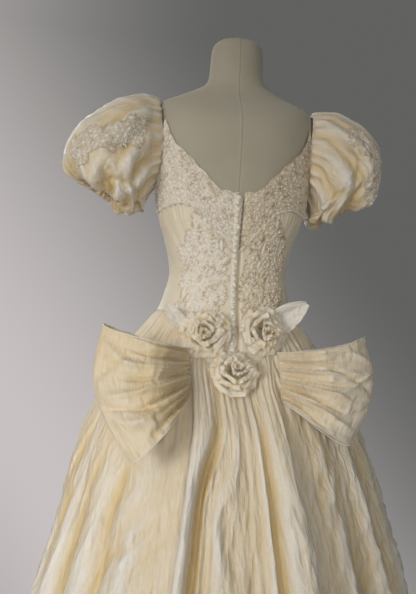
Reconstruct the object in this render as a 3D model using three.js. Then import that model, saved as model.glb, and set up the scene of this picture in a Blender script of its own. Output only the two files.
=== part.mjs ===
// A wedding dress of ivory taffeta and beaded lace, worn by a limbless dress form on its stand.
// Millimetres, +Z up. The front faces -Y, the back faces +Y and the wearer's left is +X.
// Angles round the body are in degrees: 0 is the left side, 90 the centre back, 270 the centre front.
import * as THREE from "three";

// ---- driving dimensions -------------------------------------------------------------------

const WALL = 2; // cloth with its seam allowance
const LACE_WALL = 1.5;
const FORM_CLEARANCE = 2.2; // between the form and the inside of the bodice
const SEAM_GAP = 0.6; // between pieces sewn edge to edge, measured down the body
const SEAM_ANGLE = 0.12; // half the gap of an upright seam, in degrees
const LAID_ON = 0.8; // between a panel and the trim sewn on it
const LAID_ON_WAIST = 1.3; // the same where the panel is hollowed at the waist
const SMOOTH_STEP = 7.5; // degrees between the columns of a bodice panel

const BODICE_OUT = FORM_CLEARANCE + WALL; // outside of the bodice, from the form

const SIDE_SEAM_Z = 985; // waist seam at the sides
const BACK_POINT_DROP = 105; // how far the waist seam dips to the centre back
const FRONT_POINT_DROP = 70;
const WAIST_POINT_POWER = 5; // more makes the point narrower

const HEM_Z = 12;
const SKIRT_SPRING = 110; // below the waist seam, where the gathers have opened out
const SKIRT_FOLDS = 21;
const SKIRT_WALL = 2.4; // measured level, so that the sloping sides of a fold stay about 2 mm
const SKIRT_COLUMN = 4.5; // degrees
// How the folds deepen with the distance below the waist seam, in two stages.
const FOLD_GROWTH = [
  { from: 0, to: 60, adds: 5 },
  { from: 60, to: 800, adds: 15 },
];
// Slow waves round the body that make the folds uneven in spacing, in degrees, and in depth.
const FOLD_UNEVEN = {
  shift: [
    { times: 2, by: 24, start: 40 },
    { times: 5, by: 18, start: 0 },
  ],
  strength: { times: 3, by: 0.2, start: 70 },
};
const UNDER_DRAPE = { flattened: 0.25, inside: 22, outside: 42 }; // angles from the centre back

const BUTTONS = { count: 27, top: 1200, bottom: 918, diameter: 9.2, height: 4.6 };
const PLACKET = { half: 1.9, bottom: 908, top: 1203 }; // half its width, in degrees

const FORM_BOTTOM = 790;
const POLE_RADIUS = 14;
const BASE = { radius: 190, thickness: 14 };
const FIT_GAP = 0.3; // between hard pieces that touch

// The form, from the hips to the top of the neck: half width, depths to front and back, lean.
const TORSO = [
  { z: FORM_BOTTOM, half: 168, front: 112, back: 118, lean: 0 },
  { z: 860, half: 168, front: 110, back: 120, lean: 0 },
  { z: 915, half: 156, front: 104, back: 113, lean: 0 },
  { z: 960, half: 141, front: 97, back: 103, lean: 0 },
  { z: 1010, half: 122, front: 88, back: 92, lean: 0 },
  { z: 1057, half: 111, front: 82, back: 85, lean: 0 },
  { z: 1122, half: 123, front: 92, back: 91, lean: 0 },
  { z: 1157, half: 135, front: 103, back: 96, lean: 0 },
  { z: 1200, half: 145, front: 115, back: 101, lean: 0 },
  { z: 1250, half: 151, front: 118, back: 107, lean: 0 },
  { z: 1300, half: 156, front: 110, back: 112, lean: 0 },
  { z: 1345, half: 158, front: 98, back: 108, lean: 0 },
  { z: 1375, half: 157, front: 86, back: 90, lean: -2 },
  { z: 1392, half: 148, front: 77, back: 74, lean: -4 },
  { z: 1408, half: 116, front: 68, back: 62, lean: -6 },
  { z: 1422, half: 86, front: 61, back: 56, lean: -7 },
  { z: 1436, half: 63, front: 56, back: 52, lean: -8 },
  { z: 1455, half: 54, front: 52, back: 51, lean: -8 },
  { z: 1490, half: 52, front: 50, back: 50, lean: -8 },
  { z: 1512, half: 50, front: 49, back: 49, lean: -8 },
  { z: 1524, half: 41, front: 41, back: 41, lean: -8 },
  { z: 1530, half: 22, front: 22, back: 22, lean: -8 },
];
const ROUNDNESS = 2.2; // 2 is an ellipse, more is squarer

// Edges of the bodice, by the angle away from the centre back or the centre front.
const BACK_NECKLINE = [
  { away: 0, z: 1208 },
  { away: 12, z: 1213 },
  { away: 20, z: 1234 },
  { away: 28, z: 1254 },
  { away: 36, z: 1274 },
  { away: 45, z: 1292 },
  { away: 52, z: 1311 },
  { away: 60, z: 1345 },
  { away: 66, z: 1305 },
  { away: 74, z: 1266 },
  { away: 82, z: 1242 },
  { away: 90, z: 1230 },
];
const FRONT_NECKLINE = [
  { away: 0, z: 1236 },
  { away: 20, z: 1241 },
  { away: 36, z: 1264 },
  { away: 48, z: 1300 },
  { away: 58, z: 1345 },
  { away: 66, z: 1300 },
  { away: 74, z: 1264 },
  { away: 82, z: 1242 },
  { away: 90, z: 1230 },
];
const YOKE_SEAM = [
  { away: 0, z: 1096 },
  { away: 8, z: 1114 },
  { away: 16, z: 1140 },
  { away: 23, z: 1162 },
  { away: 32, z: 1180 },
  { away: 46, z: 1188 },
  { away: 60, z: 1185 },
  { away: 90, z: 1178 },
];

// Panels of the bodice that end in the waist seam, by the angles of their upright seams.
const BODICE_PANELS = [
  { name: "bodice_centre_back_left", from: 52, to: 90, yoke: true },
  { name: "bodice_side_back_left", from: 0, to: 52, yoke: true },
  { name: "bodice_side_front_left", from: -60, to: 0, yoke: false },
  { name: "bodice_centre_front", from: -120, to: -60, yoke: false },
  { name: "bodice_side_front_right", from: -180, to: -120, yoke: false },
  { name: "bodice_side_back_right", from: 128, to: 180, yoke: true },
  { name: "bodice_centre_back_right", from: 90, to: 128, yoke: true },
];
const YOKES = [
  { name: "yoke_left", from: 0, to: 90 },
  { name: "yoke_right", from: 90, to: 180 },
];
const BODICE_ROWS = 12;
const YOKE_ROWS = 5;

// The lace sprays on the back of the bodice: the reach of each row, as angles from the centre back.
const BACK_SPRAY = [
  { z: 962, near: 14, far: 22 },
  { z: 985, near: 9, far: 33 },
  { z: 1015, near: 6, far: 43 },
  { z: 1060, near: 7, far: 53 },
  { z: 1100, near: 12, far: 57 },
  { z: 1130, near: 20, far: 54 },
  { z: 1152, near: 28, far: 47 },
];

// The skirt once its gathers have opened: half width, depth to front and back, and how far its
// middle hangs over to the wearer's right.
const SKIRT = [
  { z: HEM_Z, half: 480, front: 430, back: 490, sway: 18 },
  { z: 250, half: 413, front: 368, back: 420, sway: 18 },
  { z: 440, half: 356, front: 313, back: 355, sway: 16 },
  { z: 580, half: 318, front: 268, back: 298, sway: 13 },
  { z: 745, half: 273, front: 208, back: 222, sway: 8 },
  { z: 820, half: 242, front: 178, back: 187, sway: 4 },
  { z: 900, half: 203, front: 143, back: 150, sway: 0 },
  { z: 985, half: 160, front: 108, back: 116, sway: 0 },
];
const SKIRT_PANELS = [
  { name: "skirt_back", from: 63, to: 117 },
  { name: "skirt_left", from: -27, to: 63 },
  { name: "skirt_front", from: -153, to: -27 },
  { name: "skirt_right", from: 117, to: 207 },
];
const SKIRT_ROWS = [0, 0.02, 0.05, 0.1, 0.18, 0.3, 0.45, 0.62, 0.8, 1]; // shares of the way down

// The pleated panel down the centre back: half its width as an angle, and how far it stands out.
const DRAPE = [
  { down: 0, half: 27, out: 0.7 },
  { down: 0.06, half: 20.5, out: 7 },
  { down: 0.14, half: 18, out: 12 },
  { down: 0.4, half: 21, out: 16 },
  { down: 1, half: 25, out: 18 },
];
const DRAPE_PLEATS = 5;
const DRAPE_COLUMNS = 22;
const DRAPE_HEM_Z = HEM_Z + 3;

// Sleeves, ring by ring from the armhole to the gathered end. A ring's centre lies at x and z,
// its plane is turned down by tilt degrees, and tall and deep are its half height and half depth.
// Ring 0 follows the side of the form instead of its own x.
const SLEEVES = {
  left: [
    { ring: 0, x: 154, z: 1312, tilt: 0, tall: 80, deep: 56 },
    { ring: 1, x: 166, z: 1306, tilt: 2, tall: 96, deep: 76 },
    { ring: 2, x: 190, z: 1294, tilt: 10, tall: 107, deep: 92 },
    { ring: 3, x: 218, z: 1274, tilt: 25, tall: 107, deep: 102 },
    { ring: 4, x: 243, z: 1254, tilt: 42, tall: 101, deep: 104 },
    { ring: 5, x: 256, z: 1230, tilt: 55, tall: 88, deep: 96 },
    { ring: 6, x: 257, z: 1212, tilt: 58, tall: 74, deep: 81 },
    { ring: 7, x: 254, z: 1206, tilt: 58, tall: 54, deep: 58 },
    { ring: 8, x: 248, z: 1214, tilt: 57, tall: 42, deep: 45 },
  ],
  right: [
    { ring: 0, x: 154, z: 1310, tilt: 0, tall: 78, deep: 56 },
    { ring: 1, x: 165, z: 1300, tilt: 4, tall: 96, deep: 76 },
    { ring: 2, x: 186, z: 1284, tilt: 12, tall: 110, deep: 90 },
    { ring: 3, x: 210, z: 1268, tilt: 27, tall: 110, deep: 98 },
    { ring: 4, x: 226, z: 1248, tilt: 45, tall: 98, deep: 100 },
    { ring: 5, x: 229, z: 1224, tilt: 58, tall: 82, deep: 92 },
    { ring: 6, x: 228, z: 1204, tilt: 62, tall: 68, deep: 77 },
    { ring: 7, x: 225, z: 1197, tilt: 62, tall: 51, deep: 56 },
    { ring: 8, x: 218, z: 1204, tilt: 61, tall: 41, deep: 44 },
  ],
};
const LAST_RING = 8;
const SLEEVE_COLUMNS = 20;
const SLEEVE_FOLDS = 5;
const SLEEVE_FOLD_DEPTH = 3.5;
const SLEEVE_SEAT = 6.2; // from the form to the armhole edge of the sleeve
const BAND = { width: 12, wall: 2 };
// Rows and columns of a sleeve's own grid that its lace spray covers, from the top of the ring.
const SLEEVE_SPRAY = { fromRow: 2, toRow: 5, fromColumn: 1, toColumn: 6 };

// The loops of the bow, seen from behind: how far out each is gathered, and the fold at its end.
const LOOPS = [
  { side: "left", sign: 1, gather: 80, top: { x: 236, z: 951 }, bottom: { x: 178, z: 733 }, bulge: 37 },
  { side: "right", sign: -1, gather: 85, top: { x: 236, z: 948 }, bottom: { x: 188, z: 766 }, bulge: 30 },
];
const LOOP_GATHER = { top: 914, bottom: 832, depth: 10 };
const LOOP_BELLY = 62; // depth of an open loop
const LOOP_REST = { standOff: 150, lean: 0.42, sweep: 0.2, sweepFrom: 150, liftsBy: 0.35 };
const LOOP_OPENS = 1.4; // how soon it reaches its full depth
const LOOP_COLUMNS = 18;
const LOOP_ROWS = 8;

const ROSES = [
  { name: "rose_left", x: 51, z: 945, turn: 10, tilt: 6, out: 1.5 },
  { name: "rose_right", x: -53, z: 951, turn: 140, tilt: 6, out: 1.5 },
  { name: "rose_middle", x: -3, z: 866, turn: 250, tilt: 32, out: 11.7 },
];
const ROSE_RADIUS = 43;
// A rose in section, from its back to its heart: radius as a share, and height in millimetres.
const ROSE_SECTION = [
  { share: 0.24, height: 0 },
  { share: 0.7, height: 8 },
  { share: 1, height: 17 },
  { share: 0.93, height: 24 },
  { share: 0.7, height: 26 },
  { share: 0.66, height: 34 },
  { share: 0.36, height: 33 },
  { share: 0.3, height: 40 },
];
const ROSE_COLUMNS = 12;
const ROSE_TWIST = 15; // degrees from one ring of petals to the next
const ROSE_PETALS = { count: 3, wave: 0.05 };

// Folded leaves: root and tip on the back of the dress, their half width and stand-off.
const LEAVES = [
  { side: "left", root: { x: 92, z: 966 }, tip: { x: 118, z: 992 }, half: 11, out: 0.9, lift: 8 },
  { side: "right", root: { x: -88, z: 968 }, tip: { x: -130, z: 1008 }, half: 16, out: 0.9, lift: 16 },
];
const LEAF_CREASE = 5; // how far its edges rise above the fold down its middle
const LEAF_ENDS = { root: 0.12, tip: 0.96 }; // where along a half wave its width begins and ends

// ---- materials ----------------------------------------------------------------------------

const taffeta = new THREE.MeshStandardMaterial({ color: 0xe6dcc0, roughness: 0.45, metalness: 0 });
const satin = new THREE.MeshStandardMaterial({ color: 0xe2d8bf, roughness: 0.4, metalness: 0 });
const lace = new THREE.MeshStandardMaterial({ color: 0xe9dfc9, roughness: 0.7, metalness: 0 });
const covered = new THREE.MeshStandardMaterial({ color: 0xeee4cc, roughness: 0.5, metalness: 0 });
const canvas = new THREE.MeshStandardMaterial({ color: 0xa89f88, roughness: 0.9, metalness: 0 });
const steel = new THREE.MeshStandardMaterial({ color: 0x33312e, roughness: 0.5, metalness: 0.6 });

// ---- helpers ------------------------------------------------------------------------------

const dress = new THREE.Group();

function add(name, geometry, material) {
  const mesh = new THREE.Mesh(geometry, material);
  mesh.name = name;
  dress.add(mesh);
  return mesh;
}

const radians = THREE.MathUtils.degToRad;
const mix = THREE.MathUtils.lerp;
const smoothstep = THREE.MathUtils.smoothstep;

// A smooth curve through a table's rows, with no overshoot, held level past its ends.
function curveThrough(rows, along, value) {
  const sorted = [...rows].sort((a, b) => a[along] - b[along]);
  const x = sorted.map((row) => row[along]);
  const y = sorted.map((row) => row[value]);
  const slope = x.slice(1).map((next, i) => (y[i + 1] - y[i]) / (next - x[i]));
  const tangent = x.map((_, i) => {
    if (i === 0) return slope[0];
    if (i === x.length - 1) return slope[i - 1];
    if (slope[i - 1] * slope[i] <= 0) return 0;
    return (2 * slope[i - 1] * slope[i]) / (slope[i - 1] + slope[i]);
  });
  return (at) => {
    if (at <= x[0]) return y[0];
    if (at >= x[x.length - 1]) return y[y.length - 1];
    const i = x.findIndex((next) => next > at) - 1;
    const span = x[i + 1] - x[i];
    const t = (at - x[i]) / span;
    const rise = t * t * (3 - 2 * t);
    const start = t * (1 - t) * (1 - t) * tangent[i] * span;
    const end = t * t * (t - 1) * tangent[i + 1] * span;
    return mix(y[i], y[i + 1], rise) + start + end;
  };
}

function sum(values) {
  return values.reduce((total, value) => total + value, 0);
}

function steps(from, to, count) {
  return Array.from({ length: count + 1 }, (_, i) => mix(from, to, i / count));
}

// A closed body from its points and triangles, turned so that its faces point out.
function closedBody(points, triangles) {
  let volume = 0;
  for (const [a, b, c] of triangles) {
    volume += points[a].dot(new THREE.Vector3().crossVectors(points[b], points[c]));
  }
  const facing = volume > 0 ? triangles : triangles.map(([a, b, c]) => [a, c, b]);
  const geometry = new THREE.BufferGeometry().setFromPoints(points);
  geometry.setIndex(facing.flat());
  return geometry;
}

// A sheet of cloth with thickness, from its outer and inner grids of points, row by row.
// A wrapped sheet is a tube whose last column meets its first.
function sheet(outer, inner, wrapped = false) {
  const rows = outer.length;
  const columns = outer[0].length;
  const points = [...outer.flat(), ...inner.flat()];
  const triangles = [];
  const quad = (a, b, c, d) => triangles.push([a, b, c], [a, c, d]);
  const out = (r, c) => r * columns + (c % columns);
  const back = (r, c) => rows * columns + out(r, c);
  const across = wrapped ? columns : columns - 1;
  for (let r = 0; r < rows - 1; r += 1) {
    for (let c = 0; c < across; c += 1) {
      quad(out(r, c), out(r, c + 1), out(r + 1, c + 1), out(r + 1, c));
      quad(back(r, c), back(r + 1, c), back(r + 1, c + 1), back(r, c + 1));
    }
    if (!wrapped) {
      quad(out(r, 0), out(r + 1, 0), back(r + 1, 0), back(r, 0));
      quad(out(r + 1, across), out(r, across), back(r, across), back(r + 1, across));
    }
  }
  for (let c = 0; c < across; c += 1) {
    quad(out(0, c + 1), out(0, c), back(0, c), back(0, c + 1));
    quad(out(rows - 1, c), out(rows - 1, c + 1), back(rows - 1, c + 1), back(rows - 1, c));
  }
  return closedBody(points, triangles);
}

// A solid from a stack of rings, closed by a point in the middle of each end.
function stack(rings) {
  const columns = rings[0].length;
  const middle = (ring) => {
    const total = ring.reduce((all, point) => all.add(point), new THREE.Vector3());
    return total.divideScalar(ring.length);
  };
  const points = [...rings.flat(), middle(rings[0]), middle(rings[rings.length - 1])];
  const first = points.length - 2;
  const last = points.length - 1;
  const at = (r, c) => r * columns + (c % columns);
  const triangles = [];
  for (let c = 0; c < columns; c += 1) {
    for (let r = 0; r < rings.length - 1; r += 1) {
      triangles.push([at(r, c), at(r, c + 1), at(r + 1, c + 1)]);
      triangles.push([at(r, c), at(r + 1, c + 1), at(r + 1, c)]);
    }
    triangles.push([first, at(0, c + 1), at(0, c)]);
    triangles.push([last, at(rings.length - 1, c), at(rings.length - 1, c + 1)]);
  }
  return closedBody(points, triangles);
}

// The outward direction at each point of a grid, from its neighbours.
function gridNormals(grid, wrapped) {
  const rows = grid.length;
  const columns = grid[0].length;
  return grid.map((line, r) => line.map((_, c) => {
    const down = grid[Math.min(r + 1, rows - 1)][c].clone().sub(grid[Math.max(r - 1, 0)][c]);
    const next = wrapped ? (c + 1) % columns : Math.min(c + 1, columns - 1);
    const before = wrapped ? (c + columns - 1) % columns : Math.max(c - 1, 0);
    const along = grid[r][next].clone().sub(grid[r][before]);
    return along.cross(down).normalize();
  }));
}

function moved(grid, normals, distance) {
  return grid.map((line, r) => line.map((point, c) => (
    point.clone().addScaledVector(normals[r][c], distance)
  )));
}

// ---- the body -----------------------------------------------------------------------------

const torsoHalf = curveThrough(TORSO, "z", "half");
const torsoFront = curveThrough(TORSO, "z", "front");
const torsoBack = curveThrough(TORSO, "z", "back");
const torsoLean = curveThrough(TORSO, "z", "lean");

function ovalPoint(angle, z, half, front, back, lean, roundness) {
  const across = Math.cos(radians(angle));
  const deep = Math.sin(radians(angle));
  const power = 2 / roundness;
  const x = half * Math.sign(across) * Math.abs(across) ** power;
  const depth = deep > 0 ? back : front;
  return new THREE.Vector3(x, lean + depth * Math.sign(deep) * Math.abs(deep) ** power, z);
}

function torsoPoint(angle, z) {
  const lean = torsoLean(z);
  return ovalPoint(angle, z, torsoHalf(z), torsoFront(z), torsoBack(z), lean, ROUNDNESS);
}

function torsoNormal(angle, z) {
  const along = torsoPoint(angle + 1, z).sub(torsoPoint(angle - 1, z));
  const up = torsoPoint(angle, z + 2).sub(torsoPoint(angle, z - 2));
  return along.cross(up).normalize();
}

function bodyPoint(angle, z, out) {
  return torsoPoint(angle, z).addScaledVector(torsoNormal(angle, z), out);
}

function addForm() {
  const levels = [...TORSO, { z: 1035 }, { z: 1090 }, { z: 1225 }, { z: 1275 }, { z: 1323 }];
  const heights = levels.map((row) => row.z).sort((a, b) => a - b);
  const angles = steps(0, 360, 360 / SMOOTH_STEP).slice(0, -1);
  const rings = heights.map((z) => angles.map((angle) => torsoPoint(angle, z)));
  add("form_torso", stack(rings), canvas);

  const poleLength = FORM_BOTTOM - BASE.thickness - 2 * FIT_GAP;
  const pole = new THREE.CylinderGeometry(POLE_RADIUS, POLE_RADIUS, poleLength, 20);
  const poleMesh = add("form_pole", pole, steel);
  poleMesh.rotation.x = Math.PI / 2;
  poleMesh.position.z = BASE.thickness + FIT_GAP + poleLength / 2;

  const base = new THREE.CylinderGeometry(BASE.radius, BASE.radius, BASE.thickness, 40);
  const baseMesh = add("form_base", base, steel);
  baseMesh.rotation.x = Math.PI / 2;
  baseMesh.position.z = BASE.thickness / 2;
}

// ---- bodice -------------------------------------------------------------------------------

const backNeckline = curveThrough(BACK_NECKLINE, "away", "z");
const frontNeckline = curveThrough(FRONT_NECKLINE, "away", "z");
const yokeSeam = curveThrough(YOKE_SEAM, "away", "z");

function isBack(angle) {
  return Math.sin(radians(angle)) >= 0;
}

// The angle from the nearer of the centre back and the centre front.
function awayFromCentre(angle) {
  const fromBack = Math.abs(90 - ((angle + 540) % 360 - 180));
  const round = Math.min(fromBack, 360 - fromBack);
  return isBack(angle) ? round : 180 - round;
}

function necklineZ(angle) {
  const away = awayFromCentre(angle);
  return isBack(angle) ? backNeckline(away) : frontNeckline(away);
}

function yokeSeamZ(angle) {
  return yokeSeam(awayFromCentre(angle));
}

function waistSeamZ(angle) {
  const drop = isBack(angle) ? BACK_POINT_DROP : FRONT_POINT_DROP;
  return SIDE_SEAM_Z - drop * Math.cos(radians(awayFromCentre(angle))) ** WAIST_POINT_POWER;
}

// A panel on the body, between two upright seams and two edges, out from the form by inner to outer.
function bodyPanel({ from, to, bottom, top, inner, outer, rows }) {
  const columns = Math.round((to - from) / SMOOTH_STEP);
  const angles = steps(from + SEAM_ANGLE, to - SEAM_ANGLE, columns);
  const grid = (out) => steps(0, 1, rows).map((share) => angles.map((angle) => (
    bodyPoint(angle, mix(bottom(angle), top(angle), share), out)
  )));
  return sheet(grid(outer), grid(inner));
}

function addBodice() {
  for (const panel of BODICE_PANELS) {
    const top = (angle) => (panel.yoke ? yokeSeamZ(angle) - SEAM_GAP / 2 : necklineZ(angle));
    const geometry = bodyPanel({
      from: panel.from,
      to: panel.to,
      bottom: (angle) => waistSeamZ(angle) + SEAM_GAP / 2,
      top,
      inner: FORM_CLEARANCE,
      outer: BODICE_OUT,
      rows: BODICE_ROWS,
    });
    add(panel.name, geometry, satin);
  }
  for (const yoke of YOKES) {
    const geometry = bodyPanel({
      from: yoke.from,
      to: yoke.to,
      bottom: (angle) => yokeSeamZ(angle) + SEAM_GAP / 2,
      top: necklineZ,
      inner: FORM_CLEARANCE,
      outer: BODICE_OUT,
      rows: YOKE_ROWS,
    });
    add(yoke.name, geometry, lace);
  }
}

function addBackSprays() {
  const near = curveThrough(BACK_SPRAY, "z", "near");
  const far = curveThrough(BACK_SPRAY, "z", "far");
  const levels = steps(BACK_SPRAY[0].z, BACK_SPRAY[BACK_SPRAY.length - 1].z, 7);
  for (const side of [{ name: "spray_back_left", sign: -1 }, { name: "spray_back_right", sign: 1 }]) {
    const grid = (out) => levels.map((z) => steps(near(z), far(z), 5).map((away) => (
      bodyPoint(90 + side.sign * away, z, out)
    )));
    const inner = BODICE_OUT + LAID_ON_WAIST;
    add(side.name, sheet(grid(inner + LACE_WALL), grid(inner)), lace);
  }
}

function addPlacketAndButtons() {
  const inner = BODICE_OUT + LAID_ON_WAIST;
  const outer = inner + LACE_WALL;
  const angles = [90 - PLACKET.half, 90, 90 + PLACKET.half];
  const levels = steps(PLACKET.bottom, PLACKET.top, 14);
  const grid = (out) => levels.map((z) => angles.map((angle) => bodyPoint(angle, z, out)));
  add("button_placket", sheet(grid(outer), grid(inner)), satin);

  const radius = BUTTONS.diameter / 2;
  const section = [
    new THREE.Vector2(0, 0),
    new THREE.Vector2(radius, 0.25 * BUTTONS.height),
    new THREE.Vector2(0.7 * radius, 0.8 * BUTTONS.height),
    new THREE.Vector2(0, BUTTONS.height),
  ];
  steps(BUTTONS.top, BUTTONS.bottom, BUTTONS.count - 1).forEach((z, i) => {
    const button = new THREE.LatheGeometry(section, 8);
    const number = String(i + 1).padStart(2, "0");
    const mesh = add(`button_${number}`, button, covered);
    mesh.position.copy(bodyPoint(90, z, outer + LAID_ON));
    mesh.quaternion.setFromUnitVectors(new THREE.Vector3(0, 1, 0), torsoNormal(90, z));
  });
}

// ---- sleeves ------------------------------------------------------------------------------

// How far out the form's side reaches at a depth and height.
function torsoSideX(y, z) {
  const depth = y > 0 ? torsoBack(z) : torsoFront(z);
  const share = Math.min(1, Math.abs(y - torsoLean(z)) / depth);
  return torsoHalf(z) * (1 - share ** ROUNDNESS) ** (1 / ROUNDNESS);
}

// One ring of a left sleeve, starting at its top and going round by the back.
function sleeveRing(row) {
  const tilt = radians(row.tilt);
  const swelling = Math.sin((Math.PI * row.ring) / LAST_RING);
  return steps(0, 360, SLEEVE_COLUMNS).slice(0, -1).map((turn) => {
    const angle = radians(turn);
    const wave = Math.cos(SLEEVE_FOLDS * angle + row.ring);
    const fold = 1 + (SLEEVE_FOLD_DEPTH * swelling * wave) / row.tall;
    const up = row.tall * fold * Math.cos(angle);
    const y = row.deep * fold * Math.sin(angle);
    const z = row.z + up * Math.cos(tilt);
    const x = row.ring === 0 ? torsoSideX(y, z) + SLEEVE_SEAT : row.x + up * Math.sin(tilt);
    return new THREE.Vector3(x, y, z);
  });
}

function addSleeve(side, sign) {
  const mirrored = (grid) => grid.map((line) => line.map((point) => (
    new THREE.Vector3(sign * point.x, point.y, point.z)
  )));
  const outer = SLEEVES[side].map(sleeveRing);
  const normals = gridNormals(outer, true).map((line) => line.map((normal) => normal.negate()));
  const first = outer[0].map(({ y, z }) => new THREE.Vector3(0, y, z - SLEEVES[side][0].z).normalize());
  normals[0] = first;
  add(`sleeve_${side}`, sheet(mirrored(outer), mirrored(moved(outer, normals, -WALL)), true), taffeta);

  const { fromRow, toRow, fromColumn, toColumn } = SLEEVE_SPRAY;
  const patch = (grid) => grid.slice(fromRow, toRow + 1).map((line) => (
    line.slice(fromColumn, toColumn + 1)
  ));
  const inner = patch(moved(outer, normals, LAID_ON));
  const face = patch(moved(outer, normals, LAID_ON + LACE_WALL));
  add(`spray_sleeve_${side}`, sheet(mirrored(face), mirrored(inner)), lace);

  // The band at the gathered end goes on along the sleeve.
  const end = SLEEVES[side][LAST_RING];
  const tilt = radians(end.tilt);
  const along = new THREE.Vector3(Math.cos(tilt), 0, -Math.sin(tilt));
  const ring = (distance, narrower) => {
    const points = sleeveRing({ ...end, tall: end.tall - narrower, deep: end.deep - narrower });
    return points.map((point) => point.addScaledVector(along, distance));
  };
  const from = 2 * FIT_GAP;
  const bandOut = [ring(-from, 0), ring(-from - BAND.width, 0)];
  const bandIn = [ring(-from, BAND.wall), ring(-from - BAND.width, BAND.wall)];
  add(`sleeve_band_${side}`, sheet(mirrored(bandOut), mirrored(bandIn), true), satin);
}

// ---- skirt --------------------------------------------------------------------------------

const skirtHalf = curveThrough(SKIRT, "z", "half");
const skirtFront = curveThrough(SKIRT, "z", "front");
const skirtBack = curveThrough(SKIRT, "z", "back");
const skirtSway = curveThrough(SKIRT, "z", "sway");

// Folds run down from the gathers: small at the waist, deep at the hem, and flatter under the drape.
function foldDepth(angle, below) {
  const { flattened, inside, outside } = UNDER_DRAPE;
  const free = mix(flattened, 1, smoothstep(awayFromBack(angle), inside, outside));
  const stages = FOLD_GROWTH.map(({ from, to, adds }) => adds * smoothstep(below, from, to));
  return free * sum(stages);
}

function awayFromBack(angle) {
  return isBack(angle) ? awayFromCentre(angle) : 180 - awayFromCentre(angle);
}

function foldWave(angle) {
  const { shift, strength } = FOLD_UNEVEN;
  const uneven = sum(shift.map(({ times, by, start }) => by * Math.sin(radians(times * angle + start))));
  const depth = 1 - strength.by + strength.by * Math.sin(radians(strength.times * angle + strength.start));
  return depth * Math.cos(radians(SKIRT_FOLDS * angle + uneven));
}

function skirtPoint(angle, z, out) {
  const below = waistSeamZ(angle) - SEAM_GAP / 2 - z;
  const opened = smoothstep(below, -SKIRT_SPRING / 2, SKIRT_SPRING);
  const start = smoothstep(0, -SKIRT_SPRING / 2, SKIRT_SPRING);
  const share = (opened - start) / (1 - start);
  const fold = foldDepth(angle, below) * foldWave(angle);
  const full = ovalPoint(angle, z, skirtHalf(z), skirtFront(z), skirtBack(z), 0, 2);
  full.x -= skirtSway(z);
  const point = bodyPoint(angle, z, BODICE_OUT).lerp(full, share);
  const level = new THREE.Vector3(point.x, point.y, 0).normalize();
  point.addScaledVector(level, fold + out);
  point.z = z;
  return point;
}

function addSkirt() {
  for (const panel of SKIRT_PANELS) {
    const columns = Math.round((panel.to - panel.from) / SKIRT_COLUMN);
    const inset = SEAM_ANGLE;
    const angles = steps(panel.from + inset, panel.to - inset, columns);
    const grid = (out) => SKIRT_ROWS.map((share) => angles.map((angle) => {
      const top = waistSeamZ(angle) - SEAM_GAP / 2;
      return skirtPoint(angle, mix(top, HEM_Z, share), out);
    }));
    add(panel.name, sheet(grid(0), grid(-SKIRT_WALL)), taffeta);
  }
}

function addDrape() {
  const half = curveThrough(DRAPE, "down", "half");
  const out = curveThrough(DRAPE, "down", "out");
  const grid = (extra) => SKIRT_ROWS.map((share) => steps(-1, 1, DRAPE_COLUMNS).map((across) => {
    const angle = 90 + across * half(share);
    const z = mix(waistSeamZ(angle) - 2 * SEAM_GAP, DRAPE_HEM_Z, share);
    const pleat = 0.5 - 0.5 * Math.cos(2 * Math.PI * DRAPE_PLEATS * (across + 1) / 2);
    const depth = out(share) * (1 + 0.9 * pleat);
    return skirtPoint(angle, z, depth + extra);
  }));
  add("back_drape", sheet(grid(WALL), grid(0)), taffeta);
}

// ---- bow, roses and leaves ----------------------------------------------------------------

// The angle at which a surface of the back lies at x, where a larger angle has a smaller x.
function angleAt(x, surface) {
  let [low, high] = [0, 180];
  for (let i = 0; i < 40; i += 1) {
    const angle = (low + high) / 2;
    if (surface(angle).x > x) low = angle;
    else high = angle;
  }
  return high;
}

// The depth of the skirt's back at a distance out and a height.
function skirtBackY(x, z) {
  const surface = (angle) => skirtPoint(angle, z, 0);
  return surface(angleAt(x, surface)).y;
}

// A loop is one strip: out along its back face, round the fold and back along its front face.
function loopPoint(loop, around, down, closer) {
  const reach = Math.sin(Math.PI * around);
  const foldX = mix(loop.top.x, loop.bottom.x, down) + loop.bulge * Math.sin(Math.PI * down);
  const x = mix(loop.gather, foldX, reach);
  const gatherZ = mix(LOOP_GATHER.top, LOOP_GATHER.bottom, down);
  const z = mix(gatherZ, mix(loop.top.z, loop.bottom.z, down), reach);
  const swept = LOOP_REST.sweep * Math.max(0, x - LOOP_REST.sweepFrom);
  const free = LOOP_REST.standOff + LOOP_REST.lean * (LOOP_GATHER.top - z) - swept;
  const seat = skirtBackY(loop.sign * loop.gather, z) + LAID_ON;
  const base = mix(seat, free, smoothstep(reach, 0, LOOP_REST.liftsBy));
  const open = Math.sin(Math.PI * 0.5 * Math.min(1, LOOP_OPENS * reach));
  const depth = mix(LOOP_GATHER.depth, LOOP_BELLY, open) - 2 * closer;
  const y = base + closer + depth * (0.5 + 0.5 * Math.cos(Math.PI * around));
  return new THREE.Vector3(loop.sign * (x - closer * reach), y, z);
}

function addLoop(loop) {
  const grid = (closer) => steps(0, 1, LOOP_ROWS).map((down) => (
    steps(0, 1, LOOP_COLUMNS).map((around) => loopPoint(loop, around, down, closer))
  ));
  add(`bow_loop_${loop.side}`, sheet(grid(0), grid(WALL)), taffeta);
}

// The outward direction of the dress at a place on its back, and that place on its surface.
function backSeat(x, z) {
  const angle = angleAt(x, (at) => bodyPoint(at, z, BODICE_OUT));
  return { point: bodyPoint(angle, z, BODICE_OUT), normal: torsoNormal(angle, z) };
}

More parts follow.
